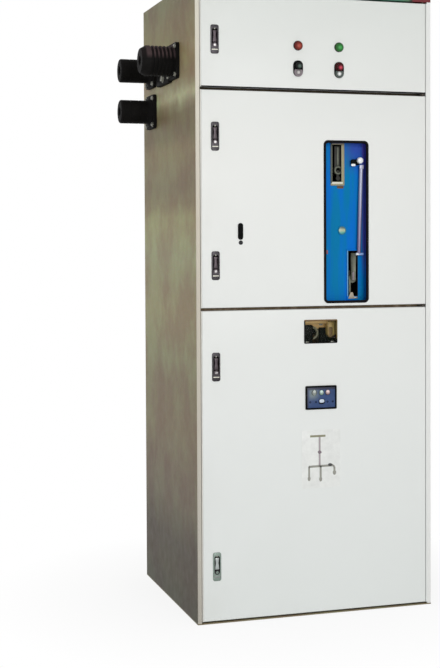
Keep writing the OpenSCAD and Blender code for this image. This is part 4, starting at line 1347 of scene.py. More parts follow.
class CUBICLE_OT_latch(bpy.types.Operator):
    """Makes the small latch on the mechanism door and the key barrel under it"""
    bl_idname = "cubicle.latch"
    bl_label = "Small latch"

    def execute(self, context):
        low, high, spot, size = around("door_latch")
        plate = slab("latch_plate", spot.x, spot.z, size.x - 0.002, size.z, 0.0085, FRONT, FRONT - 0.003,
            0.001, 10)
        body = slab("latch_body", spot.x, spot.z, size.x - 0.007, size.z - 0.014, 0.0025, high.y,
            FRONT - 0.001)
        plate = join("latch_plate", [plate, body])
        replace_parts(finish(plate, black_plastic(), "black_plastic", body="middle_door"), "door_latch")
        grip = slab("latch_grip", spot.x, spot.z, 0.0085, 0.034, 0.003, FRONT - 0.0025, low.y, 0.0016)
        finish(grip, black_plastic(), "black_plastic", body="middle_door")
        barrel = turned("latch_barrel", [(-0.01, 0.006), (0, 0.006), (0, 0.0074), (0.0018, 0.0072),
            (0.0026, 0.0064), (0.0026, 0.0044), (0.0018, 0.004), (0.0018, 0.0001)], 36)
        cut(barrel, block("keyway", (-0.0007, -0.0034, 0.0005), (0.0007, 0.0034, 0.006)))
        place(barrel, (spot.x + 0.001, FRONT, low.z - 0.0095), "-Y")
        finish(barrel, dark_steel(), "black_plastic", body="middle_door")
        return {"FINISHED"}


class CUBICLE_OT_edging(bpy.types.Operator):
    """Pushes rubber edging over the rim of the operating panel's opening"""
    bl_idname = "cubicle.edging"
    bl_label = "Panel edging"

    def execute(self, context):
        low, high, spot, size = around("panel_edging")
        lip, width, sheet = 0.002, 0.009, sizes().sheet
        layers = [("front", size.x, size.z, 0.016, FRONT, low.y, 0.0026),
                  ("grip", size.x - 2 * lip, size.z - 2 * lip, 0.014, FRONT + sheet, FRONT - 0.0005, 0),
                  ("back", size.x, size.z, 0.016, high.y, FRONT + sheet, 0)]
        rings = []
        for layer, across, tall, corner, back, front, edge in layers:
            ring = slab(layer, spot.x, spot.z, across, tall, corner, back, front, edge, 10)
            cut(ring, pad("opening", spot, size, 2 * width, 0.008, back + 0.01, front - 0.01, 0, 10))
            rings.append(ring)
        inner = size.x / 2 - width
        round_edges(rings[0], lambda m, w: abs(m.y - low.y) < 1e-6 and abs(w.y) < 0.1
            and abs(m.x - spot.x) < inner + 0.0005 and abs(m.z - spot.z) < size.z / 2 - width + 0.0005,
            0.0026, 3)
        edging = join("panel_edging_rubber", rings)
        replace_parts(finish(edging, rubber(), "rubber_edging", 50, body="middle_door"), "panel_edging")
        return {"FINISHED"}


# ---- the operating panel

PANEL_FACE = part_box("position_indicator")[1].y


def opening(node, left, right, foot, head):
    """Sides of a slot, from its frame's box and the widths of the frame round it."""
    low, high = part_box(node)
    return low.x + left, high.x - right, low.z + foot, high.z - head


SLOTS = {"upper_slot_frame": opening("upper_slot_frame", 0.008, 0.016, 0.013, 0.005),
         "lower_slot_frame": opening("lower_slot_frame", 0.009, 0.004, 0.013, 0.005)}


class CUBICLE_OT_panel(bpy.types.Operator):
    """Paints the blue operating panel and adds its corner screws and small marks"""
    bl_idname = "cubicle.panel"
    bl_label = "Operating panel"

    def execute(self, context):
        low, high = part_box("panel_edging")
        repaint("operating_panel", blue_coat())
        screw = pan_screw("panel_screw", 0.005, 0.0024)
        spots = [(x, PANEL_FACE, z) for x in (low.x + 0.018, high.x - 0.018)
            for z in (low.z + 0.018, high.z - 0.018)]
        for head in spread(screw, "panel_screw", spots):
            finish(head, blue_coat(), "blue_panel")
        mark = slab("operation_mark", low.x + 0.0255, low.z + 0.1751, 0.005, 0.014, 0.002,
            PANEL_FACE + 0.0005, PANEL_FACE - 0.0008, 0.0003)
        finish(mark, red_plastic(), "red_plastic")
        return {"FINISHED"}


def frame_strip(name, x, z, width, height, material, slot, lift=0.0006):
    """A thin lip on a frame's face."""
    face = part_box("upper_slot_frame")[0].y
    lip = slab(name, x, z, width, height, min(width, height) * 0.35, face + 0.001, face - lift, lift * 0.6, 4)
    finish(lip, material, slot)


def upper_frame_marks():
    """The worn bright foot of the upper frame and the folded edge at its left."""
    x0, x1, z0, z1 = SLOTS["upper_slot_frame"]
    frame_strip("upper_frame_foot", (x0 + x1) / 2 + 0.001, z0 - 0.004, x1 - x0 + 0.008, 0.0058,
        cream_plastic(), "cream_plastic")
    tab = slab("upper_frame_tab", x1 - 0.004, z0 - 0.0185, 0.024, 0.009, 0.003, PANEL_FACE + 0.0005,
        PANEL_FACE - 0.002, 0.0008)
    finish(tab, brown_plastic(), "slot_sheet")
    frame_strip("upper_frame_side", x0 - 0.0031, (z0 + z1) / 2, 0.0052, z1 - z0 + 0.01, ring_plastic(),
        "dark_steel")
    frame_strip("upper_frame_head", (x0 + x1) / 2, z1 + 0.0028, x1 - x0 + 0.01, 0.0025, grey_plastic(),
        "slot_sheet")


def lower_frame_marks():
    """The pale edge at the left of the lower slot and the plated clip at its foot."""
    x0, x1, z0, z1 = SLOTS["lower_slot_frame"]
    frame_strip("lower_frame_side", x0 - 0.0022, (z0 + z1) / 2, 0.0038, z1 - z0, pale_blue_coat(),
        "blue_panel")
    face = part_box("lower_slot_frame")[0].y
    gusset = block("lower_frame_gusset", (x0 - 0.001, face - 0.0014, z0 - 0.008),
        (x0 + 0.024, face + 0.0006, z0 + 0.014))
    edit(gusset, "FACE")
    pick_faces(gusset, lambda m, n: n.z > 0.9)
    widen(0.3, (x0 + 0.013, face, z0 + 0.014))
    close_edit()
    round_edges(gusset, lambda m, w: m.y < face - 0.001, 0.0004, 2)
    finish(gusset, moulded("Gusset", (0.4, 0.34, 0.25), 0.45).material, "cream_plastic")
    frame_strip("lower_frame_foot", x1 - 0.008, z0 - 0.005, 0.014, 0.006, bolt_steel(), "bright_steel")


class CUBICLE_OT_slot_frames(bpy.types.Operator):
    """Presses the frames of the two operating slots, with their linings"""
    bl_idname = "cubicle.slot_frames"
    bl_label = "Slot frames"

    def execute(self, context):
        for node, material, slot in (
                ("upper_slot_frame", slot_coat(), "slot_sheet"),
                ("lower_slot_frame", blue_coat(), "blue_panel")):
            low, high, spot, size = around(node)
            x0, x1, z0, z1 = SLOTS[node]
            left, right = max(low.x, x0 - 0.006), min(high.x, x1 + 0.011)
            ring = slab(node + "_ring", (left + right) / 2, spot.z, right - left, size.z, 0.0025, high.y,
                low.y, 0.0009)
            cut(ring, block("opening", (x0, low.y - 0.01, z0), (x1, high.y + 0.01, z1)))
            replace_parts(finish(ring, material, slot), node)
            lining = block(node + "_lining", (x0, low.y + 0.001, z0), (x1, high.y + 0.003, z1))
            cut(lining, block("hollow", (x0 + 0.0008, low.y - 0.01, z0 + 0.0008),
                (x1 - 0.0008, high.y + 0.03, z1 - 0.0008)))
            finish(lining, shutter_steel(), "dark_steel")
        upper_frame_marks()
        lower_frame_marks()
        return {"FINISHED"}


def upper_lever():
    low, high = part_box("upper_crank")
    x, link_z, face = (low.x + high.x) / 2, low.z + 0.008, low.y + 0.004
    shaft_z, collar = high.z - 0.084, low.y + 0.022
    rear = high.y - collar
    shaft = turned("upper_shaft", [(-rear, 0.0095), (-rear + 0.0015, 0.011), (-0.04, 0.011), (-0.038, 0.0095),
        (-0.034, 0.0095), (-0.032, 0.011), (0.001, 0.011)], 40)
    place(shaft, (x, collar, shaft_z), "-Y")
    blade = slab("blade", x, high.z - 0.038, 0.026, 0.076, 0.003, face + 0.006, face, 0.0012, 4)
    ridge = block("ridge", (x - 0.0035, face - 0.0012, shaft_z + 0.016),
        (x + 0.0035, face + 0.001, high.z - 0.004))
    round_edges(ridge, lambda m, w: m.y < face, 0.001, 2)
    link = slab("link", x, (shaft_z + link_z) / 2, 0.01, shaft_z - link_z, 0.001, face + 0.006, face, 0.0008,
        2)
    eye = turned("eye", [(-0.006, 0.0075), (-0.0055, 0.008), (0.0015, 0.008), (0.002, 0.0075),
        (0.002, 0.0045), (0.0012, 0.004), (0.0012, 0.0001)], 36)
    place(eye, (x, face, link_z), "-Y")
    crank = join("upper_crank_lever", [shaft, blade, link, eye])
    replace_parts(finish(crank, shutter_steel(), "dark_steel"), "upper_crank")
    finish(ridge, cast_grey(), "dark_steel")
    ring = turned("upper_socket", [(-0.018, 0.008), (-0.018, 0.014), (-0.0175, 0.015), (0.0028, 0.015),
        (0.004, 0.0138), (0.004, 0.0098), (0.003, 0.0086), (0.001, 0.008)], 48, True)
    finish(place(ring, (x, face, shaft_z), "-Y"), cast_grey(), "dark_steel")
    throat = turned("upper_socket_throat", [(-0.0179, 0.0082), (-0.0142, 0.0082)], 40)
    finish(place(throat, (x, face, shaft_z), "-Y"), black_plastic(), "dark_steel")


def lower_lever():
    low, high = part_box("lower_crank")
    x, hub_z, front = low.x + 0.014, high.z - 0.09, low.y
    back = high.y - front - 0.008
    shaft = turned("shaft", [(-back, 0.0125), (-back + 0.0015, 0.014), (-0.06, 0.014), (-0.058, 0.0125),
        (-0.052, 0.0125), (-0.05, 0.014), (-0.0006, 0.014), (0, 0.0134)], 40)
    place(shaft, (x, front + 0.008, hub_z), "-Y")
    arm = block("arm", (x - 0.0065, front, hub_z - 0.005), (x + 0.009, front + 0.012, high.z))
    edit(arm, "FACE")
    pick_faces(arm, lambda m, n: n.z > 0.9)
    widen(1.25, (x, front, high.z))
    pick_faces(arm, lambda m, n: n.y < -0.9)
    bpy.ops.mesh.inset(thickness=0.003)
    bpy.ops.transform.translate(value=(0, 0.002, 0))
    close_edit()
    round_edges(arm, lambda m, w: abs(w.y) > 0.9 and m.z > high.z - 0.001, 0.004, 4)
    soften(arm, 0.0009, 2, 50)
    link = slab("link", low.x + 0.0035, (low.z + hub_z) / 2, 0.007, hub_z - low.z, 0.001, front + 0.01,
        front + 0.004, 0.001, 3)
    lever = join("lower_crank_lever", [shaft, arm, link])
    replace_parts(finish(lever, cast_grey(), "grey_cast"), "lower_crank")
    stop = slab("lower_crank_pad", x + 0.001, hub_z + 0.01, 0.0075, 0.03, 0.0035, front + 0.003,
        front - 0.0006, 0.001)
    finish(stop, grey_plastic(), "grey_cast")
    shutter = block("lower_shutter", (low.x - 0.006, front + 0.013, high.z - 0.094),
        (low.x + 0.028, front + 0.0145, high.z - 0.062))
    round_edges(shutter, runs("y"), 0.002, 3)
    finish(shutter, shutter_steel(), "dark_steel")


class CUBICLE_OT_cranks(bpy.types.Operator):
    """Models the levers behind the slots: the socket for the handle with its blade and link, and the arm"""
    bl_idname = "cubicle.cranks"
    bl_label = "Levers"

    def execute(self, context):
        upper_lever()
        lower_lever()
        return {"FINISHED"}


def leaning_rod():
    low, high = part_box("interlock_rod")
    radius, y = 0.0065, PANEL_FACE - 0.0105
    foot, top = Vector((low.x + 0.0145, y, low.z + 0.005)), Vector((low.x + 0.0235, y, high.z - 0.0012))
    shank = rod("interlock_shank", foot + Vector((0, 0, 0.002)), top, radius, 32)
    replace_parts(finish(shank, bright_steel(), "bright_steel"), "interlock_rod")
    end = slab("interlock_rod_end", top.x, top.z + 0.001, 0.0155, 0.014, 0.003, y - radius + 0.0025,
        y - radius - 0.0005, 0.0008)
    finish(end, bright_steel(), "bright_steel")
    cross = block("interlock_cross", (low.x + 0.003, y - 0.0045, low.z + 0.001),
        (high.x - 0.002, y + 0.0045, low.z + 0.0095))
    soften(cross, 0.0018, 3)
    # Painted light: pale where the highlight falls at its left, blue towards its right
    pale = moulded("Cross-piece", (0.8, 0.8, 0.8), 0.4)
    pale.colour(pale.ramp(along(pale, "X", low.x, high.x),
        [(0.35, (0.72, 0.74, 0.78)), (0.5, (0.24, 0.38, 0.68))]))
    finish(cross, pale.material, "cream_plastic")
    lug = block("interlock_lug", (low.x + 0.022, y, low.z), (low.x + 0.028, PANEL_FACE, low.z + 0.01))
    soften(lug, 0.0008, 2)
    finish(lug, bright_steel(), "bright_steel")


class CUBICLE_OT_interlock(bpy.types.Operator):
    """Models the interlock: knob, arm, leaning rod, cross-piece and guide lug"""
    bl_idname = "cubicle.interlock"
    bl_label = "Interlock"

    def execute(self, context):
        low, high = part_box("interlock_knob")
        radius = 0.0108
        x, z = high.x - 0.0128, high.z - 0.012
        depth = PANEL_FACE - low.y
        knob = turned("interlock_cap", [(0.0095, radius - 0.0015), (0.011, radius), (depth - 0.004, radius),
            (depth - 0.0012, radius - 0.0018), (depth, radius - 0.0045), (depth, 0.0001)], 44)
        grooves = 12
        for turn in range(grooves):
            angle = 2 * math.pi * (turn + 0.3) / grooves
            groove = turned("groove", [(0.0123, 0.0013), (depth + 0.004, 0.0013)], 10)
            groove.location = (radius * math.cos(angle) * 1.04, radius * math.sin(angle) * 1.04, 0)
            cut(knob, settle(groove))
        finish(place(knob, (x, PANEL_FACE, z), "-Y"), white_plastic(), "cream_plastic")
        spindle = turned("interlock_spindle",
            [(-0.002, 0.008), (0.001, 0.008), (0.002, 0.007), (0.01, 0.007)], 32)
        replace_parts(finish(place(spindle, (x, PANEL_FACE, z), "-Y"), black_plastic(), "black_plastic"),
            "interlock_knob")
        arm = slab("interlock_arm", (low.x + x) / 2 + 0.001, z - 0.006, x - low.x, 0.02, 0.007,
            PANEL_FACE - 0.008, PANEL_FACE - 0.014, 0.001)
        finish(arm, black_plastic(), "black_plastic")
        stud = slab("interlock_stud", low.x + 0.0085, low.z + 0.0025, 0.016, 0.0085, 0.004,
            PANEL_FACE - 0.013, PANEL_FACE - 0.0155, 0.001)
        finish(stud, white_plastic(), "cream_plastic", 60)
        leaning_rod()
        return {"FINISHED"}


class CUBICLE_OT_indicator(bpy.types.Operator):
    """Makes the round position indicator: a bezel with a three-coloured disc behind it"""
    bl_idname = "cubicle.indicator"
    bl_label = "Position indicator"

    def execute(self, context):
        spot, radius = middle("position_indicator"), extent("position_indicator").x / 2
        bezel = turned("indicator_bezel", [(0, radius - 0.002), (0, radius), (0.0025, radius),
            (0.004, radius - 0.0015), (0.004, radius - 0.0025), (0.003, radius - 0.0032),
            (0.0015, radius - 0.0034)], 56, True)
        finish(place(bezel, (spot.x, PANEL_FACE, spot.z), "-Y"),
            moulded("Indicator bezel", (0.008, 0.19, 0.3), 0.4).material, "blue_plastic")
        disc = turned("indicator_disc", [(0, radius - 0.0015), (0.0022, radius - 0.002),
            (0.003, radius - 0.006), (0.0032, 0.0001)], 56)
        place(disc, (spot.x, PANEL_FACE, spot.z), "-Y")
        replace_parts(finish(disc, indicator_face(), "cream_plastic", 60), "position_indicator")
        return {"FINISHED"}


# ---- bushings

def resin_clamp(wall, y):
    """The bolted resin clamp on the sheet between the two upper bushings."""
    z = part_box("front_bushing")[0].z + 0.014
    lug = block("bushing_clamp", (-0.019, -0.085, 0), (0.026, 0.1, 0.014))
    round_edges(lug, runs("z"), 0.012, 6)
    round_edges(lug, lies("z", 0.014), 0.003, 3)
    finish(place(lug, (wall, y, z), "-X"), resin(), "black_resin", 40)
    head = place(hex_bolt("bushing_clamp_bolt", 0.021, 0.007, 0.017), (wall - 0.014, y, z + 0.004), "-X")
    finish(head, bolt_steel(), "bright_steel")


def bushing_flange(name, side, thickness):
    """Square block with round corners and a bore."""
    half = side / 2
    plate = block(name, (-half, -half, 0), (half, half, thickness))
    round_edges(plate, runs("z"), 0.014, 8)
    round_edges(plate, lies("z", thickness), 0.002, 3)
    cut(plate, turned("hole", [(-0.01, 0.03), (thickness + 0.01, 0.03)], 48))
    return plate


def smooth_profile(reach):
    """A collar, a waist, two shallow joints and a rounded end."""
    rings = [(0, 0.0575), (0.012, 0.058), (0.0145, 0.0572), (0.0165, 0.054), (0.02, 0.047), (0.0245, 0.0438),
             (0.03, 0.043), (0.052, 0.043), (0.053, 0.0418), (0.056, 0.0418), (0.057, 0.043)]
    rings += [(0.088, 0.043), (0.089, 0.042), (0.091, 0.042), (0.092, 0.043), (reach - 0.006, 0.043)]
    for step in range(1, 6):
        turn = math.pi / 2 * step / 5
        rings.append((reach - 0.006 + 0.006 * math.sin(turn), 0.037 + 0.006 * math.cos(turn)))
    return rings


def ribbed_profile(reach):
    """Six ribs, then a cone."""
    ribs, end, root, crest = 6, reach - 0.026, 0.0485, 0.053
    rings = [(0, 0.0525), (0.012, 0.053), (0.0155, 0.053), (0.017, root)]
    pitch = (end - 0.017) / ribs
    for rib in range(ribs):
        foot = 0.017 + rib * pitch
        rings += [(foot + pitch * 0.42, root), (foot + pitch * 0.52, crest - 0.0006),
            (foot + pitch * 0.6, crest), (foot + pitch * 0.84, crest), (foot + pitch * 0.92, crest - 0.0006)]
        if rib < ribs - 1:
            rings.append((foot + pitch, root))
    return rings + [(reach - 0.02, crest), (reach - 0.008, 0.046), (reach - 0.002, 0.043), (reach, 0.041)]


class CUBICLE_OT_bushings(bpy.types.Operator):
    """Turns the three cast-resin bushings on the left side and bolts their flanges down"""
    bl_idname = "cubicle.bushings"
    bl_label = "Bushings"

    def execute(self, context):
        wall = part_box("left_side_panel")[0].x
        for node in ("front_bushing", "rear_upper_bushing", "rear_lower_bushing"):
            low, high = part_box(node)
            spot, side = middle(node), extent(node).y
            reach, stub, bore = wall - low.x, high.x - wall, 0.015
            rings = ribbed_profile(reach) if node == "front_bushing" else smooth_profile(reach)
            body = turned(node + "_body", [(-stub, bore), (-stub, 0.039), (-stub + 0.002, 0.041), (0, 0.041)]
                + rings + [(reach, bore + 0.0025), (reach - 0.0025, bore)], 72, True)
            place(body, (wall, spot.y, spot.z), "-X")
            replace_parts(finish(body, resin(), "black_resin", 40), node)
            flange = bushing_flange(node + "_flange", side, 0.012)
            place(flange, (wall, spot.y, spot.z), "-X")
            finish(flange, resin(), "black_resin", 40)
            contact = turned(node + "_contact",
                [(reach - 0.07, 0.0085), (reach - 0.07, bore), (reach - 0.012, bore), (reach - 0.01, 0.0135),
                (reach - 0.01, 0.0095), (reach - 0.012, 0.0085)], 40, True)
            finish(place(contact, (wall, spot.y, spot.z), "-X"), copper(), "copper")
            bolt = hex_bolt("bolt", sizes().bolt, 0.0045, 0.009)
            place(bolt, (wall - 0.012, 0, 0), "-X")
            reach_out = side / 2 - 0.014
            spots = [(0, spot.y + y * reach_out, spot.z + z * reach_out) for y in (-1, 1) for z in (-1, 1)]
            bolt_row(bolt, node + "_bolt", spots)
        resin_clamp(wall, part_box("front_bushing")[1].y + 0.062)
        return {"FINISHED"}


# ---- window, display and mimic plate

class CUBICLE_OT_window(bpy.types.Operator):
    """Frames the viewing window and sets its clear sheet behind the door"""
    bl_idname = "cubicle.window"
    bl_label = "Viewing window"

    def execute(self, context):
        low, high, spot, size = around("window_frame")
        rim = 0.0042
        frame_ring = pad("window_frame_moulding", spot, size, 0, 0.004, high.y + 0.002, low.y, 0.0012)
        opening = pad("opening", spot, size, 2 * rim, 0.002, high.y + 0.02, low.y - 0.01)
        cut(frame_ring, opening)
        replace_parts(finish(frame_ring, window_moulding(), "black_plastic", body="lower_door"), "window_frame")
        pane_low, pane_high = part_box("window_glass")
        pane = middle("window_glass")
        glass = slab("window_pane", pane.x, pane.z, pane_high.x - pane_low.x, pane_high.z - pane_low.z, 0.003,
            pane_high.y, pane_low.y, 0.0006)
        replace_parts(finish(glass, safety_glass(), "window_glass", body="lower_door"), "window_glass")
        clip = block("window_clip", (-0.006, pane_high.y - 0.0005, -0.007),
            (0.006, pane_high.y + 0.003, 0.007))
        soften(clip, 0.001, 2)
        spots = [(x, 0, z) for x in (pane_low.x + 0.02, pane_high.x - 0.02)
            for z in (pane_low.z + 0.004, pane_high.z - 0.004)]
        for number, spot in enumerate(spots, 1):
            finish(copy_to(clip, f"window_clip_{number}", spot), bolt_steel(), "bright_steel",
                body="lower_door")
        drop(clip)
        return {"FINISHED"}


class CUBICLE_OT_display(bpy.types.Operator):
    """Makes the voltage display: a bordered face, three phase lamps and a test button"""
    bl_idname = "cubicle.display"
    bl_label = "Voltage display"

    def execute(self, context):
        low, high, spot, size = around("voltage_display")
        border = pad("display_case", spot, size, 0, 0.004, FRONT, low.y, 0.0016)
        cut(border, pad("well", spot, size, 0.011, 0.002, FRONT - 0.002, low.y - 0.01))
        body = pad("body", spot, size, 0.014, 0.002, high.y, FRONT - 0.001)
        case = join("display_case", [border, body])
        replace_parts(finish(case, black_plastic(), "black_plastic", body="lower_door"), "voltage_display")
        face = pad("display_face", spot, size, 0.0115, 0.0015, FRONT - 0.001, FRONT - 0.0028, 0.0004)
        finish(face, blue_plastic(), "blue_plastic", body="lower_door")
        front = FRONT - 0.0028
        # Lamp colours: a painted highlight above each lamp's middle, darker at the edge
        lamps = {"display_lamp_first": (-0.011, (0.55, 0.6, 0.56), (0.28, 0.32, 0.28), "cream_plastic"),
                 "display_lamp_second": (0.015, (0.68, 0.85, 0.8), (0.16, 0.32, 0.22), "green_lens"),
                 "display_lamp_third": (0.038, (0.95, 0.75, 0.76), (0.16, 0.04, 0.05), "red_lens")}
        for name, (x, core, edge, slot) in lamps.items():
            dome = turned(name, [(-0.001, 0.0078), (0.0008, 0.0078), (0.0015, 0.0068), (0.002, 0.0046),
                (0.0022, 0.0022), (0.0022, 0.0001)], 36)
            dome.scale = (1, 1.25, 1) if name == "display_lamp_first" else (1, 1.08, 1)
            settle(dome)
            place(dome, (x, front, 0.763), "-Y")
            finish(dome, lens(name + " lens", (x, front - 0.002, 0.768), core, edge), slot, 60,
                body="lower_door")
            ring = turned(name + "_ring", [(0, 0.0078), (0, 0.0094), (0.001, 0.0092), (0.0014, 0.0086),
                (0.0008, 0.0078)], 36, True)
            finish(place(ring, (x, front, 0.763), "-Y"), dark_steel(), "black_plastic", body="lower_door")
        ring = slab("display_button_ring", 0.016, 0.7325, 0.023, 0.0175, 0.007, front + 0.001, front - 0.0008,
            0.0006)
        finish(ring, black_plastic(), "black_plastic", body="lower_door")
        button = slab("display_button", 0.016, 0.734, 0.018, 0.012, 0.0055, front + 0.001, front - 0.0018,
            0.0012)
        finish(button, moulded("Test button", (0.58, 0.66, 0.76), 0.35).material, "cream_plastic",
            body="lower_door")
        for number, x in enumerate((-0.026, -0.005, 0.037, 0.056), 1):
            socket = turned(f"display_socket_{number}",
                [(-0.001, 0.0032), (0.0006, 0.0032), (0.0009, 0.0026), (0.0009, 0.0016), (-0.0004, 0.0014),
                (-0.0004, 0.0001)], 24)
            finish(place(socket, (x, front, 0.731), "-Y"), black_plastic(), "black_plastic",
                body="lower_door")
        return {"FINISHED"}


def mimic_stroke(start, end, width, face):
    """A raised line from one (x, z) to another."""
    start, end = Vector((start[0], 0, start[1])), Vector((end[0], 0, end[1]))
    way = end - start
    bar = block("line", (-way.length / 2, -0.00015, -width / 2), (way.length / 2, 0.0006, width / 2))
    bar.rotation_euler.y = -math.atan2(way.z, way.x)
    bar.location = (start + end) / 2 + Vector((0, face, 0))
    return settle(bar)


def mimic_spot(x, z, half_width, half_height, face):
    """A raised oval spot."""
    oval = turned("spot", [(-0.0004, 1), (0.0002, 1), (0.0003, 0.9), (0.0003, 0.001)], 32)
    oval.scale = (half_width, half_height, 1)
    settle(oval)
    return place(oval, (x, face, z), "-Y")


class CUBICLE_OT_mimic(bpy.types.Operator):
    """Lays the circuit's symbols on their plate: bus, switch, transformer legs and earth"""
    bl_idname = "cubicle.mimic"
    bl_label = "Mimic plate"

    def execute(self, context):
        low, high, spot, size = around("mimic_plate")
        plate = pad("mimic_plate_sheet", spot, size, 0, 0.004, FRONT, low.y + 0.0003, 0.0003)
        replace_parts(finish(plate, mimic_face(), "plate_white", body="lower_door"), "mimic_plate")
        wide, face = sizes().line, low.y + 0.0002
        top = [((-0.026, 0.614), (0.030, 0.614), 3.2)]
        bus = [((-0.031, 0.510), (0.058, 0.511), 3.4), ((-0.030, 0.511), (-0.030, 0.469), 3),
               ((0.012, 0.511), (0.012, 0.466), 3.3), ((0.058, 0.511), (0.0625, 0.504), 3),
               ((0.0625, 0.505), (0.0625, 0.486), 3.2)]
        wings = [((0.0085, 0.6115), (0.0085, 0.562), 3.2),
                 ((0.0085, 0.556), (0.0085, 0.5125), 3.2)]
        ends = [(-0.030, 0.4695, 0.005, 0.0085), (0.012, 0.466, 0.0054, 0.0085),
                (0.0625, 0.486, 0.0062, 0.0085)]
        groups = (("mimic_bus", top, [], olive_ink()), ("mimic_lines", bus, ends, mimic_ink()),
                  ("mimic_node", [((0.002, 0.560), (0.0155, 0.557), 2.4)], [(0.0085, 0.5585, 0.006, 0.0062)],
                  mimic_shade()), ("mimic_switch", wings, [], mimic_mauve()),
                  ("mimic_arrow", [((0.046, 0.5135), (0.055, 0.5145), 1.6)],
                  [(0.0465, 0.5135, 0.0078, 0.0052)], mimic_arrow()))
        for name, lines, spots, material in groups:
            strokes = [mimic_stroke(start, end, wide * width, face) for start, end, width in lines]
            strokes += [mimic_spot(x, z, half_w, half_h, face) for x, z, half_w, half_h in spots]
            finish(join(name, strokes), material, "black_plastic", body="lower_door")
        rivet = turned("mimic_rivet", [(0, 0.0022), (0.0004, 0.0021), (0.0006, 0.0012), (0.0006, 0.0001)], 20)
        place(rivet, (0, low.y + 0.0006, 0), "-Y")
        spots = [(x, 0, z) for x in (low.x + 0.006, high.x - 0.006) for z in (low.z + 0.006, high.z - 0.006)]
        for head in spread(rivet, "mimic_rivet", spots):
            finish(head, mimic_face(), "plate_white", body="lower_door")
        return {"FINISHED"}


# ---- inside and back

def post_insulator(radius, height):
    core, rings, sheds = radius - 0.009, [(0, radius - 0.011), (0.0015, radius - 0.009)], 4
    pitch = height / sheds
    for shed in range(sheds):
        foot = shed * pitch + 0.004
        rings += [(foot, core), (foot + 0.001, radius - 0.0015), (foot + 0.0025, radius),
            (foot + 0.0045, radius), (foot + 0.009, core + 0.003), (foot + 0.012, core)]
    return turned("insulator", rings + [(height, core)], 56)


def cable_bar(name, x, low, high):
    """A bar bent at a right angle, with a round hole in its foot."""
    half, thick = 0.02, 0.006
    bar = block(name, (x - half, low.y, high.z - thick), (x + half, high.y, high.z))
    edit(bar, "FACE")
    pick_all()
    bpy.ops.mesh.bisect(plane_co=(x, low.y + thick, high.z), plane_no=(0, 1, 0))
    pick_faces(bar, lambda m, n: n.z < -0.9 and m.y < low.y + thick)
    bpy.ops.mesh.extrude_region_move(TRANSFORM_OT_translate={"value": (0, 0, low.z - high.z + thick)})
    close_edit()
    round_edges(bar, lambda m, w: abs(w.x) > 0.9 and abs(m.y - low.y) < 1e-6 and abs(m.z - high.z) < 1e-6,
        0.007, 5)
    round_edges(bar, lambda m, w: abs(w.y) > 0.9 and abs(m.z - low.z) < 1e-6, 0.005, 4)
    hole = turned("hole", [(-0.02, 0.0065), (0.02, 0.0065)], 28)
    cut(bar, place(hole, (x, low.y, low.z + 0.052), "-Y"))
    soften(bar, 0.0006, 1, 60)
    return bar


def contact_bar():
    low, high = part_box("contact_bar")
    bar = slab("contact_bar_strip", (low.x + high.x) / 2, low.z + 0.02, high.x - low.x, 0.04, 0.003,
        low.y + 0.006, low.y, 0.0008)
    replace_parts(finish(bar, brass(), "copper"), "contact_bar")
    for side, x in (("left", low.x + 0.01), ("right", high.x - 0.01)):
        lug = slab("contact_lug_" + side, x, (low.z + high.z) / 2, 0.02, high.z - low.z, 0.002, high.y,
            low.y + 0.006, 0.0008)
        finish(lug, brass(), "copper")
    bolt = place(hex_bolt("bolt", 0.013, 0.005, 0.009), (0, low.y, low.z + 0.02), "-Y")
    step = (high.x - low.x - 0.04) / 4
    bolt_row(bolt, "contact_bolt", [(low.x + 0.02 + step * n, 0, 0) for n in range(5)])
    switch_contacts(low.y, low.z)


def switch_contacts(face, foot):
    """The contact and its insulating blocks on the bar, behind the viewing window."""
    blocks = (("contact_block_left", -0.022, 0.056, 0.062, 0.012, resin(), "black_resin"),
              ("contact_block_right", 0.046, 0.03, 0.056, 0.012, resin(), "black_resin"),
              ("contact_blade", 0.0745, 0.044, 0.05, 0.034, amber(), "copper"),
              ("contact_shoe", 0.063, 0.014, 0.036, 0.036, ochre_contact(), "cream_plastic"),
              ("contact_guard", 0.004, 0.1, 0.012, 0.03, brass(), "copper"),
              ("contact_stop", 0.082, 0.014, 0.014, 0.036, brown_insulator(), "black_resin"))
    tops = {"contact_block_left": 0.991, "contact_block_right": 0.981, "contact_blade": 1.004,
            "contact_guard": 1.008, "contact_shoe": 0.984, "contact_stop": 0.958}
    for name, x, width, height, depth, material, slot in blocks:
        piece = slab(name, x, tops[name] - height / 2, width, height, 0.004, face, face - depth, 0.002)
        if slot == "black_resin":
            rib = slab("rib", x + width * 0.1, tops[name] - height * 0.6, width * 0.4, height * 0.4,
                width * 0.09, face - depth + 0.001, face - depth - 0.003, 0.0015)
            piece = join(name, [piece, rib])
        finish(piece, material, slot)
    clear_selection()
    bpy.ops.mesh.primitive_torus_add(major_segments=64, minor_segments=20, major_radius=0.02,
        minor_radius=0.0045, location=(0.004, face - 0.006, foot - 0.014), rotation=(math.pi / 2, 0, 0))
    horn = settle(named("contact_horn"))
    edit(horn, "FACE")
    pick_all()
    bpy.ops.mesh.bisect(plane_co=(0.008, face, foot), plane_no=(1, 0, 0), use_fill=True, clear_inner=True)
    close_edit()
    finish(horn, olive_insulator(), "cream_plastic")


def earth_bar():
    low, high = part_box("earth_bar")
    bar = block("earth_bar_strip", low, high)
    round_edges(bar, runs("x"), 0.0015, 3)
    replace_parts(finish(bar, copper(), "copper"), "earth_bar")
    bolt = place(hex_bolt("bolt", 0.015, 0.006, 0.011), (0, low.y, (low.z + high.z) / 2), "-Y")
    pitch = (high.x - low.x - 0.12) / 6
    bolt_row(bolt, "earth_bolt", [(low.x + 0.06 + pitch * n, 0, 0) for n in range(7)])


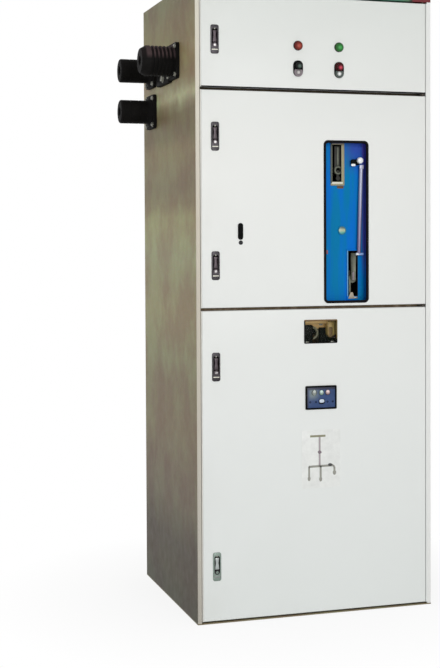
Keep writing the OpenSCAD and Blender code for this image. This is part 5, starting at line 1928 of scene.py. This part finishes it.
class CUBICLE_OT_cables(bpy.types.Operator):
    """Models the post insulators, the bars for the cables, the contact bar and the earth bar"""
    bl_idname = "cubicle.cables"
    bl_label = "Cable connections"

    def execute(self, context):
        low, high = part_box("post_insulators")
        radius, height = (high.y - low.y) / 2, high.z - low.z
        phases = [low.x + radius, (low.x + high.x) / 2, high.x - radius]
        y = (low.y + high.y) / 2
        post = post_insulator(radius, height)
        for number, x in enumerate(phases, 1):
            twin = copy_to(post, f"post_insulator_{number}", (x, y, low.z))
            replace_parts(finish(twin, resin(), "black_resin", 40), "post_insulators")
        drop(post)
        low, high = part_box("cable_bars")
        for number, x in enumerate(phases, 1):
            bar = cable_bar(f"cable_bar_{number}", x, low, high)
            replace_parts(finish(bar, copper(), "copper"), "cable_bars")
            bolt = hex_bolt("bolt", 0.017, 0.007, 0.012)
            place(bolt, (0, 0, 0), "-Y")
            bolt_row(bolt, f"cable_bolt_{number}", [(x, low.y, low.z + 0.03), (x, low.y, low.z + 0.075)])
            nut = place(hex_bolt(f"insulator_bolt_{number}", 0.017, 0.006, 0.012), (x, y, high.z - 0.006),
                "-Z")
            finish(nut, bolt_steel(), "bright_steel")
        contact_bar()
        earth_bar()
        return {"FINISHED"}


def press_beads(cover, spot, size, face):
    """Presses a shallow rectangular bead into the cover, inside its screws."""
    outer = slab("bead", spot.x, spot.z, size.x - 0.16, size.z - 0.2, 0.03, face + 0.001, face - 0.0009, 0, 8)
    cut(outer, slab("inner", spot.x, spot.z, size.x - 0.176, size.z - 0.216, 0.022, face + 0.01, face - 0.01,
        0, 8))
    cut(cover, outer)


def countersunk_screw():
    head = turned("head", [(-0.0015, 0.0036), (-0.0002, 0.0058), (-0.0001, 0.0001)], 20)
    socket = block("socket", (-0.0026, -0.0005, -0.0009), (0.0026, 0.0005, 0.001))
    cut(head, socket)
    return place(head, (0, 0, 0), "+Y")


class CUBICLE_OT_rear_covers(bpy.types.Operator):
    """Folds the two rear covers, with countersunk screws all round and stiffening beads"""
    bl_idname = "cubicle.rear_covers"
    bl_label = "Rear covers"

    def execute(self, context):
        for node in ("rear_upper_cover", "rear_lower_cover"):
            low, high, spot, size = around(node)
            cover = block(node + "_sheet", low, high)
            round_edges(cover, runs("y"), 0.003, 3)
            round_edges(cover, lies("y", high.y), 0.0007, 2)
            inset, pitch = 0.018, sizes().screw_pitch
            across = max(2, round((size.x - 2 * inset) / pitch))
            tall = max(2, round((size.z - 2 * inset) / pitch))
            xs = [low.x + inset + (size.x - 2 * inset) * n / across for n in range(across + 1)]
            zs = [low.z + inset + (size.z - 2 * inset) * n / tall for n in range(tall + 1)]
            spots = [(x, high.y, z) for x in xs for z in (zs[0], zs[-1])]
            spots += [(x, high.y, z) for x in (xs[0], xs[-1]) for z in zs[1:-1]]
            press_beads(cover, spot, size, high.y)
            sinks = [place(turned("sink", [(-0.0016, 0.004), (0.0002, 0.0066)], 20), spot, "+Y")
                for spot in spots]
            cut(cover, join("sinks", sinks))
            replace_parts(finish(cover, side_coat(), "side_sheet"), node)
            screw = countersunk_screw()
            heads = [copy_to(screw, "head", spot) for spot in spots]
            drop(screw)
            finish(join(node + "_screws", heads), bolt_steel(), "bright_steel")
        return {"FINISHED"}


class CUBICLE_OT_relief_flap(bpy.types.Operator):
    """Makes the pressure relief flap on the top, with its shear bolts"""
    bl_idname = "cubicle.relief_flap"
    bl_label = "Relief flap"

    def execute(self, context):
        low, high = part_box("relief_flap")
        flap = block("relief_flap_sheet", low, high)
        round_edges(flap, runs("z"), 0.012, 5)
        round_edges(flap, lies("z", high.z), 0.0008, 2)
        pocket = block("pocket", (low.x + 0.03, low.y + 0.03, high.z - 0.0008),
            (high.x - 0.03, high.y - 0.03, high.z + 0.01))
        round_edges(pocket, runs("z"), 0.01, 5)
        cut(flap, pocket)
        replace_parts(finish(flap, side_coat(), "side_sheet"), "relief_flap")
        bolt = hex_bolt("bolt", 0.01, 0.004, 0.008)
        xs = [low.x + 0.014 + (high.x - low.x - 0.028) * n / 4 for n in range(5)]
        spots = [(x, y, high.z) for x in xs for y in (low.y + 0.012, high.y - 0.012)]
        bolt_row(bolt, "relief_flap_bolt", spots)
        return {"FINISHED"}


class CUBICLE_OT_hinges(bpy.types.Operator):
    """Finishes the hinge pins and fits a washer round each pin between the doors"""
    bl_idname = "cubicle.hinges"
    bl_label = "Hinges"

    def execute(self, context):
        repaint("hinge_pins", hinge_steel())
        seams = [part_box(door)[0].z for door in ("middle_door", "top_door")]
        washer = turned("washer", [(0, 0.0034), (0, 0.0064), (0.0003, 0.0066), (0.0009, 0.0066),
            (0.0012, 0.0064), (0.0012, 0.0034)], 32, True)
        for piece in spread(washer, "hinge_washer", [(HINGE_X, HINGE_Y, z - 0.0014) for z in seams]):
            finish(piece, hinge_steel(), "bright_steel")
        return {"FINISHED"}


# Finishes of the CAD pieces that stay as they are
KEPT = {
    post_coat: ("left_side_panel", "right_side_panel"),
    side_coat: ("top_cover", "floor_plate"),
    rail_coat: ("head_rail", "upper_crossbar", "mechanism_housing"),
    crossbar_coat: ("lower_crossbar",),
    inner_sheet: ("inner_partition", "instrument_shelf", "cable_compartment_roof"),
}


def repaint(node, material):
    """Puts a finish on every material slot of a CAD piece that stays."""
    piece = frame["nodes"][node]
    for slot in piece.material_slots:
        slot.material = material


class CUBICLE_OT_sheets(bpy.types.Operator):
    """Gives the cabinet's sheets their finishes"""
    bl_idname = "cubicle.sheets"
    bl_label = "Cabinet sheets"

    def execute(self, context):
        for coat, nodes in KEPT.items():
            for node in nodes:
                repaint(node, coat())
        return {"FINISHED"}


# ---- studio

def pale_floor():
    """A wide floor whose far part is as white as the backdrop to the camera, and keeps the shadow."""
    clear_selection()
    bpy.ops.mesh.primitive_circle_add(vertices=96, radius=30, fill_type="NGON", location=(0, 0, -0.0005))
    ground = named("studio_floor")
    settle(ground)
    cover = Finish("Studio floor", 0.8)
    grey = paint("studio_floor")
    cover.mottle(shade(grey, 0.98), grey, 0.5, 1)
    ground.data.materials.append(cover.material)
    whiten_floor(cover)


def whiten_floor(cover):
    """For the rays that see it the floor is nearly white at the object and plain white farther off."""
    reach = cover.add("ShaderNodeVectorMath", operation="LENGTH")
    cover.link(cover.where, "Object", reach, 0)
    both = cover.add("ShaderNodeMath", operation="MULTIPLY")
    cover.link(*cover.span((reach, "Value"), 0.88, 1, 0.45, 1.1), both, 0)
    cover.tree.links.new(seen_rays(cover.tree), both.inputs[1])
    glow = cover.add("ShaderNodeEmission")
    mix_shaders(cover.tree, both.outputs[0], cover.shader, glow, cover.output)


def seen_rays(tree):
    """One where the camera, a reflection or a clear sheet sees the surface."""
    path = tree.nodes.new("ShaderNodeLightPath")
    seen = path.outputs["Is Camera Ray"]
    for ray in ("Is Glossy Ray", "Is Transmission Ray"):
        both = tree.nodes.new("ShaderNodeMath")
        both.operation = "MAXIMUM"
        tree.links.new(seen, both.inputs[0])
        tree.links.new(path.outputs[ray], both.inputs[1])
        seen = both.outputs[0]
    return seen


def mix_shaders(tree, factor, first, second, output):
    """Mixes two shaders into the output."""
    mixer = tree.nodes.new("ShaderNodeMixShader")
    for entry, source in enumerate((factor, first.outputs[0], second.outputs[0])):
        tree.links.new(source, mixer.inputs[entry])
    tree.links.new(mixer.outputs[0], output.inputs["Surface"])


def even_world():
    """Even light for the scene, and plain white for the rays that see it."""
    backdrop = bpy.data.worlds.new("Studio")
    bpy.context.scene.world = backdrop
    backdrop.use_nodes = True
    tree = backdrop.node_tree
    tree.nodes.clear()
    out = tree.nodes.new("ShaderNodeOutputWorld")
    lights = [tree.nodes.new("ShaderNodeBackground") for _ in range(2)]
    for light, strength in zip(lights, (bpy.context.scene.cubicle_studio.ambient, 1.0)):
        light.inputs["Strength"].default_value = strength
        light.inputs["Color"].default_value = (1, 1, 1, 1)
    mix_shaders(tree, seen_rays(tree), *lights, out)


def large_lamps():
    studio = bpy.context.scene.cubicle_studio
    spots = (("front_lamp", studio.front, (0.2, -6.6, 2.1), (0, 0, 1.1), 3.2),
             ("side_lamp", studio.side, (-3.6, 0.2, 1.9), (-0.4, 0, 1.5), 1.6))
    for name, power, place_at, aim, width in spots:
        clear_selection()
        bpy.ops.object.light_add(type="AREA", location=place_at)
        lamp = bpy.context.active_object
        lamp.name = name
        lamp.data.energy = power
        lamp.data.shape = "SQUARE"
        lamp.data.size = width
        lamp.rotation_euler = (Vector(aim) - Vector(place_at)).to_track_quat("-Z", "Y").to_euler()


def front_camera():
    clear_selection()
    bpy.ops.object.camera_add(location=(-1.627, -4.832, 1.285),
        rotation=(math.radians(90 - 1.60), math.radians(0.21), math.radians(-18.23)))
    camera = bpy.context.active_object
    camera.name = "camera"
    camera.data.lens = 74.988
    camera.data.sensor_fit = "VERTICAL"
    camera.data.sensor_height = 36
    camera.data.shift_x = -0.0783
    camera.data.shift_y = -0.0826
    bpy.context.scene.camera = camera


class CUBICLE_OT_studio(bpy.types.Operator):
    """Sets the floor, the lights and the camera"""
    bl_idname = "cubicle.studio"
    bl_label = "Studio"

    def execute(self, context):
        pale_floor()
        even_world()
        large_lamps()
        front_camera()
        context.scene.view_settings.view_transform = "Standard"
        return {"FINISHED"}


# ---- add-on

STEPS = (CUBICLE_OT_sheets, CUBICLE_OT_doors, CUBICLE_OT_header, CUBICLE_OT_jamb_strips, CUBICLE_OT_hinges,
         CUBICLE_OT_locks, CUBICLE_OT_lamps, CUBICLE_OT_stations, CUBICLE_OT_buttons, CUBICLE_OT_latch,
         CUBICLE_OT_edging, CUBICLE_OT_panel, CUBICLE_OT_slot_frames, CUBICLE_OT_cranks, CUBICLE_OT_interlock,
         CUBICLE_OT_indicator, CUBICLE_OT_bushings, CUBICLE_OT_window, CUBICLE_OT_display, CUBICLE_OT_mimic,
         CUBICLE_OT_cables, CUBICLE_OT_rear_covers, CUBICLE_OT_relief_flap, CUBICLE_OT_studio)


class CUBICLE_PT_panel(bpy.types.Panel):
    """Lists the cubicle's sizes, colours and steps in the sidebar"""
    bl_idname = "CUBICLE_PT_panel"
    bl_label = "Ring Main Unit"
    bl_space_type = "VIEW_3D"
    bl_region_type = "UI"
    bl_category = "Ring Main Unit"

    def draw(self, context):
        scene = context.scene
        for group in (scene.cubicle_sizes, scene.cubicle_paints, scene.cubicle_studio):
            column = self.layout.column(align=True)
            for name in group.__annotations__:
                column.prop(group, name)
        column = self.layout.column(align=True)
        for step in STEPS:
            column.operator(step.bl_idname)


GROUPS = {"cubicle_sizes": CubicleSizes, "cubicle_paints": CubiclePaints, "cubicle_studio": CubicleStudio}
CLASSES = (*GROUPS.values(), *STEPS, CUBICLE_PT_panel)


def register():
    for kind in CLASSES:
        bpy.utils.register_class(kind)
    for name, group in GROUPS.items():
        setattr(bpy.types.Scene, name, bpy.props.PointerProperty(type=group))


def unregister():
    for name in GROUPS:
        delattr(bpy.types.Scene, name)
    for kind in reversed(CLASSES):
        bpy.utils.unregister_class(kind)


def main():
    register()
    for step in STEPS:
        name = step.bl_idname.split(".")[1]
        getattr(bpy.ops.cubicle, name)()


if __name__ == "__main__":
    main()
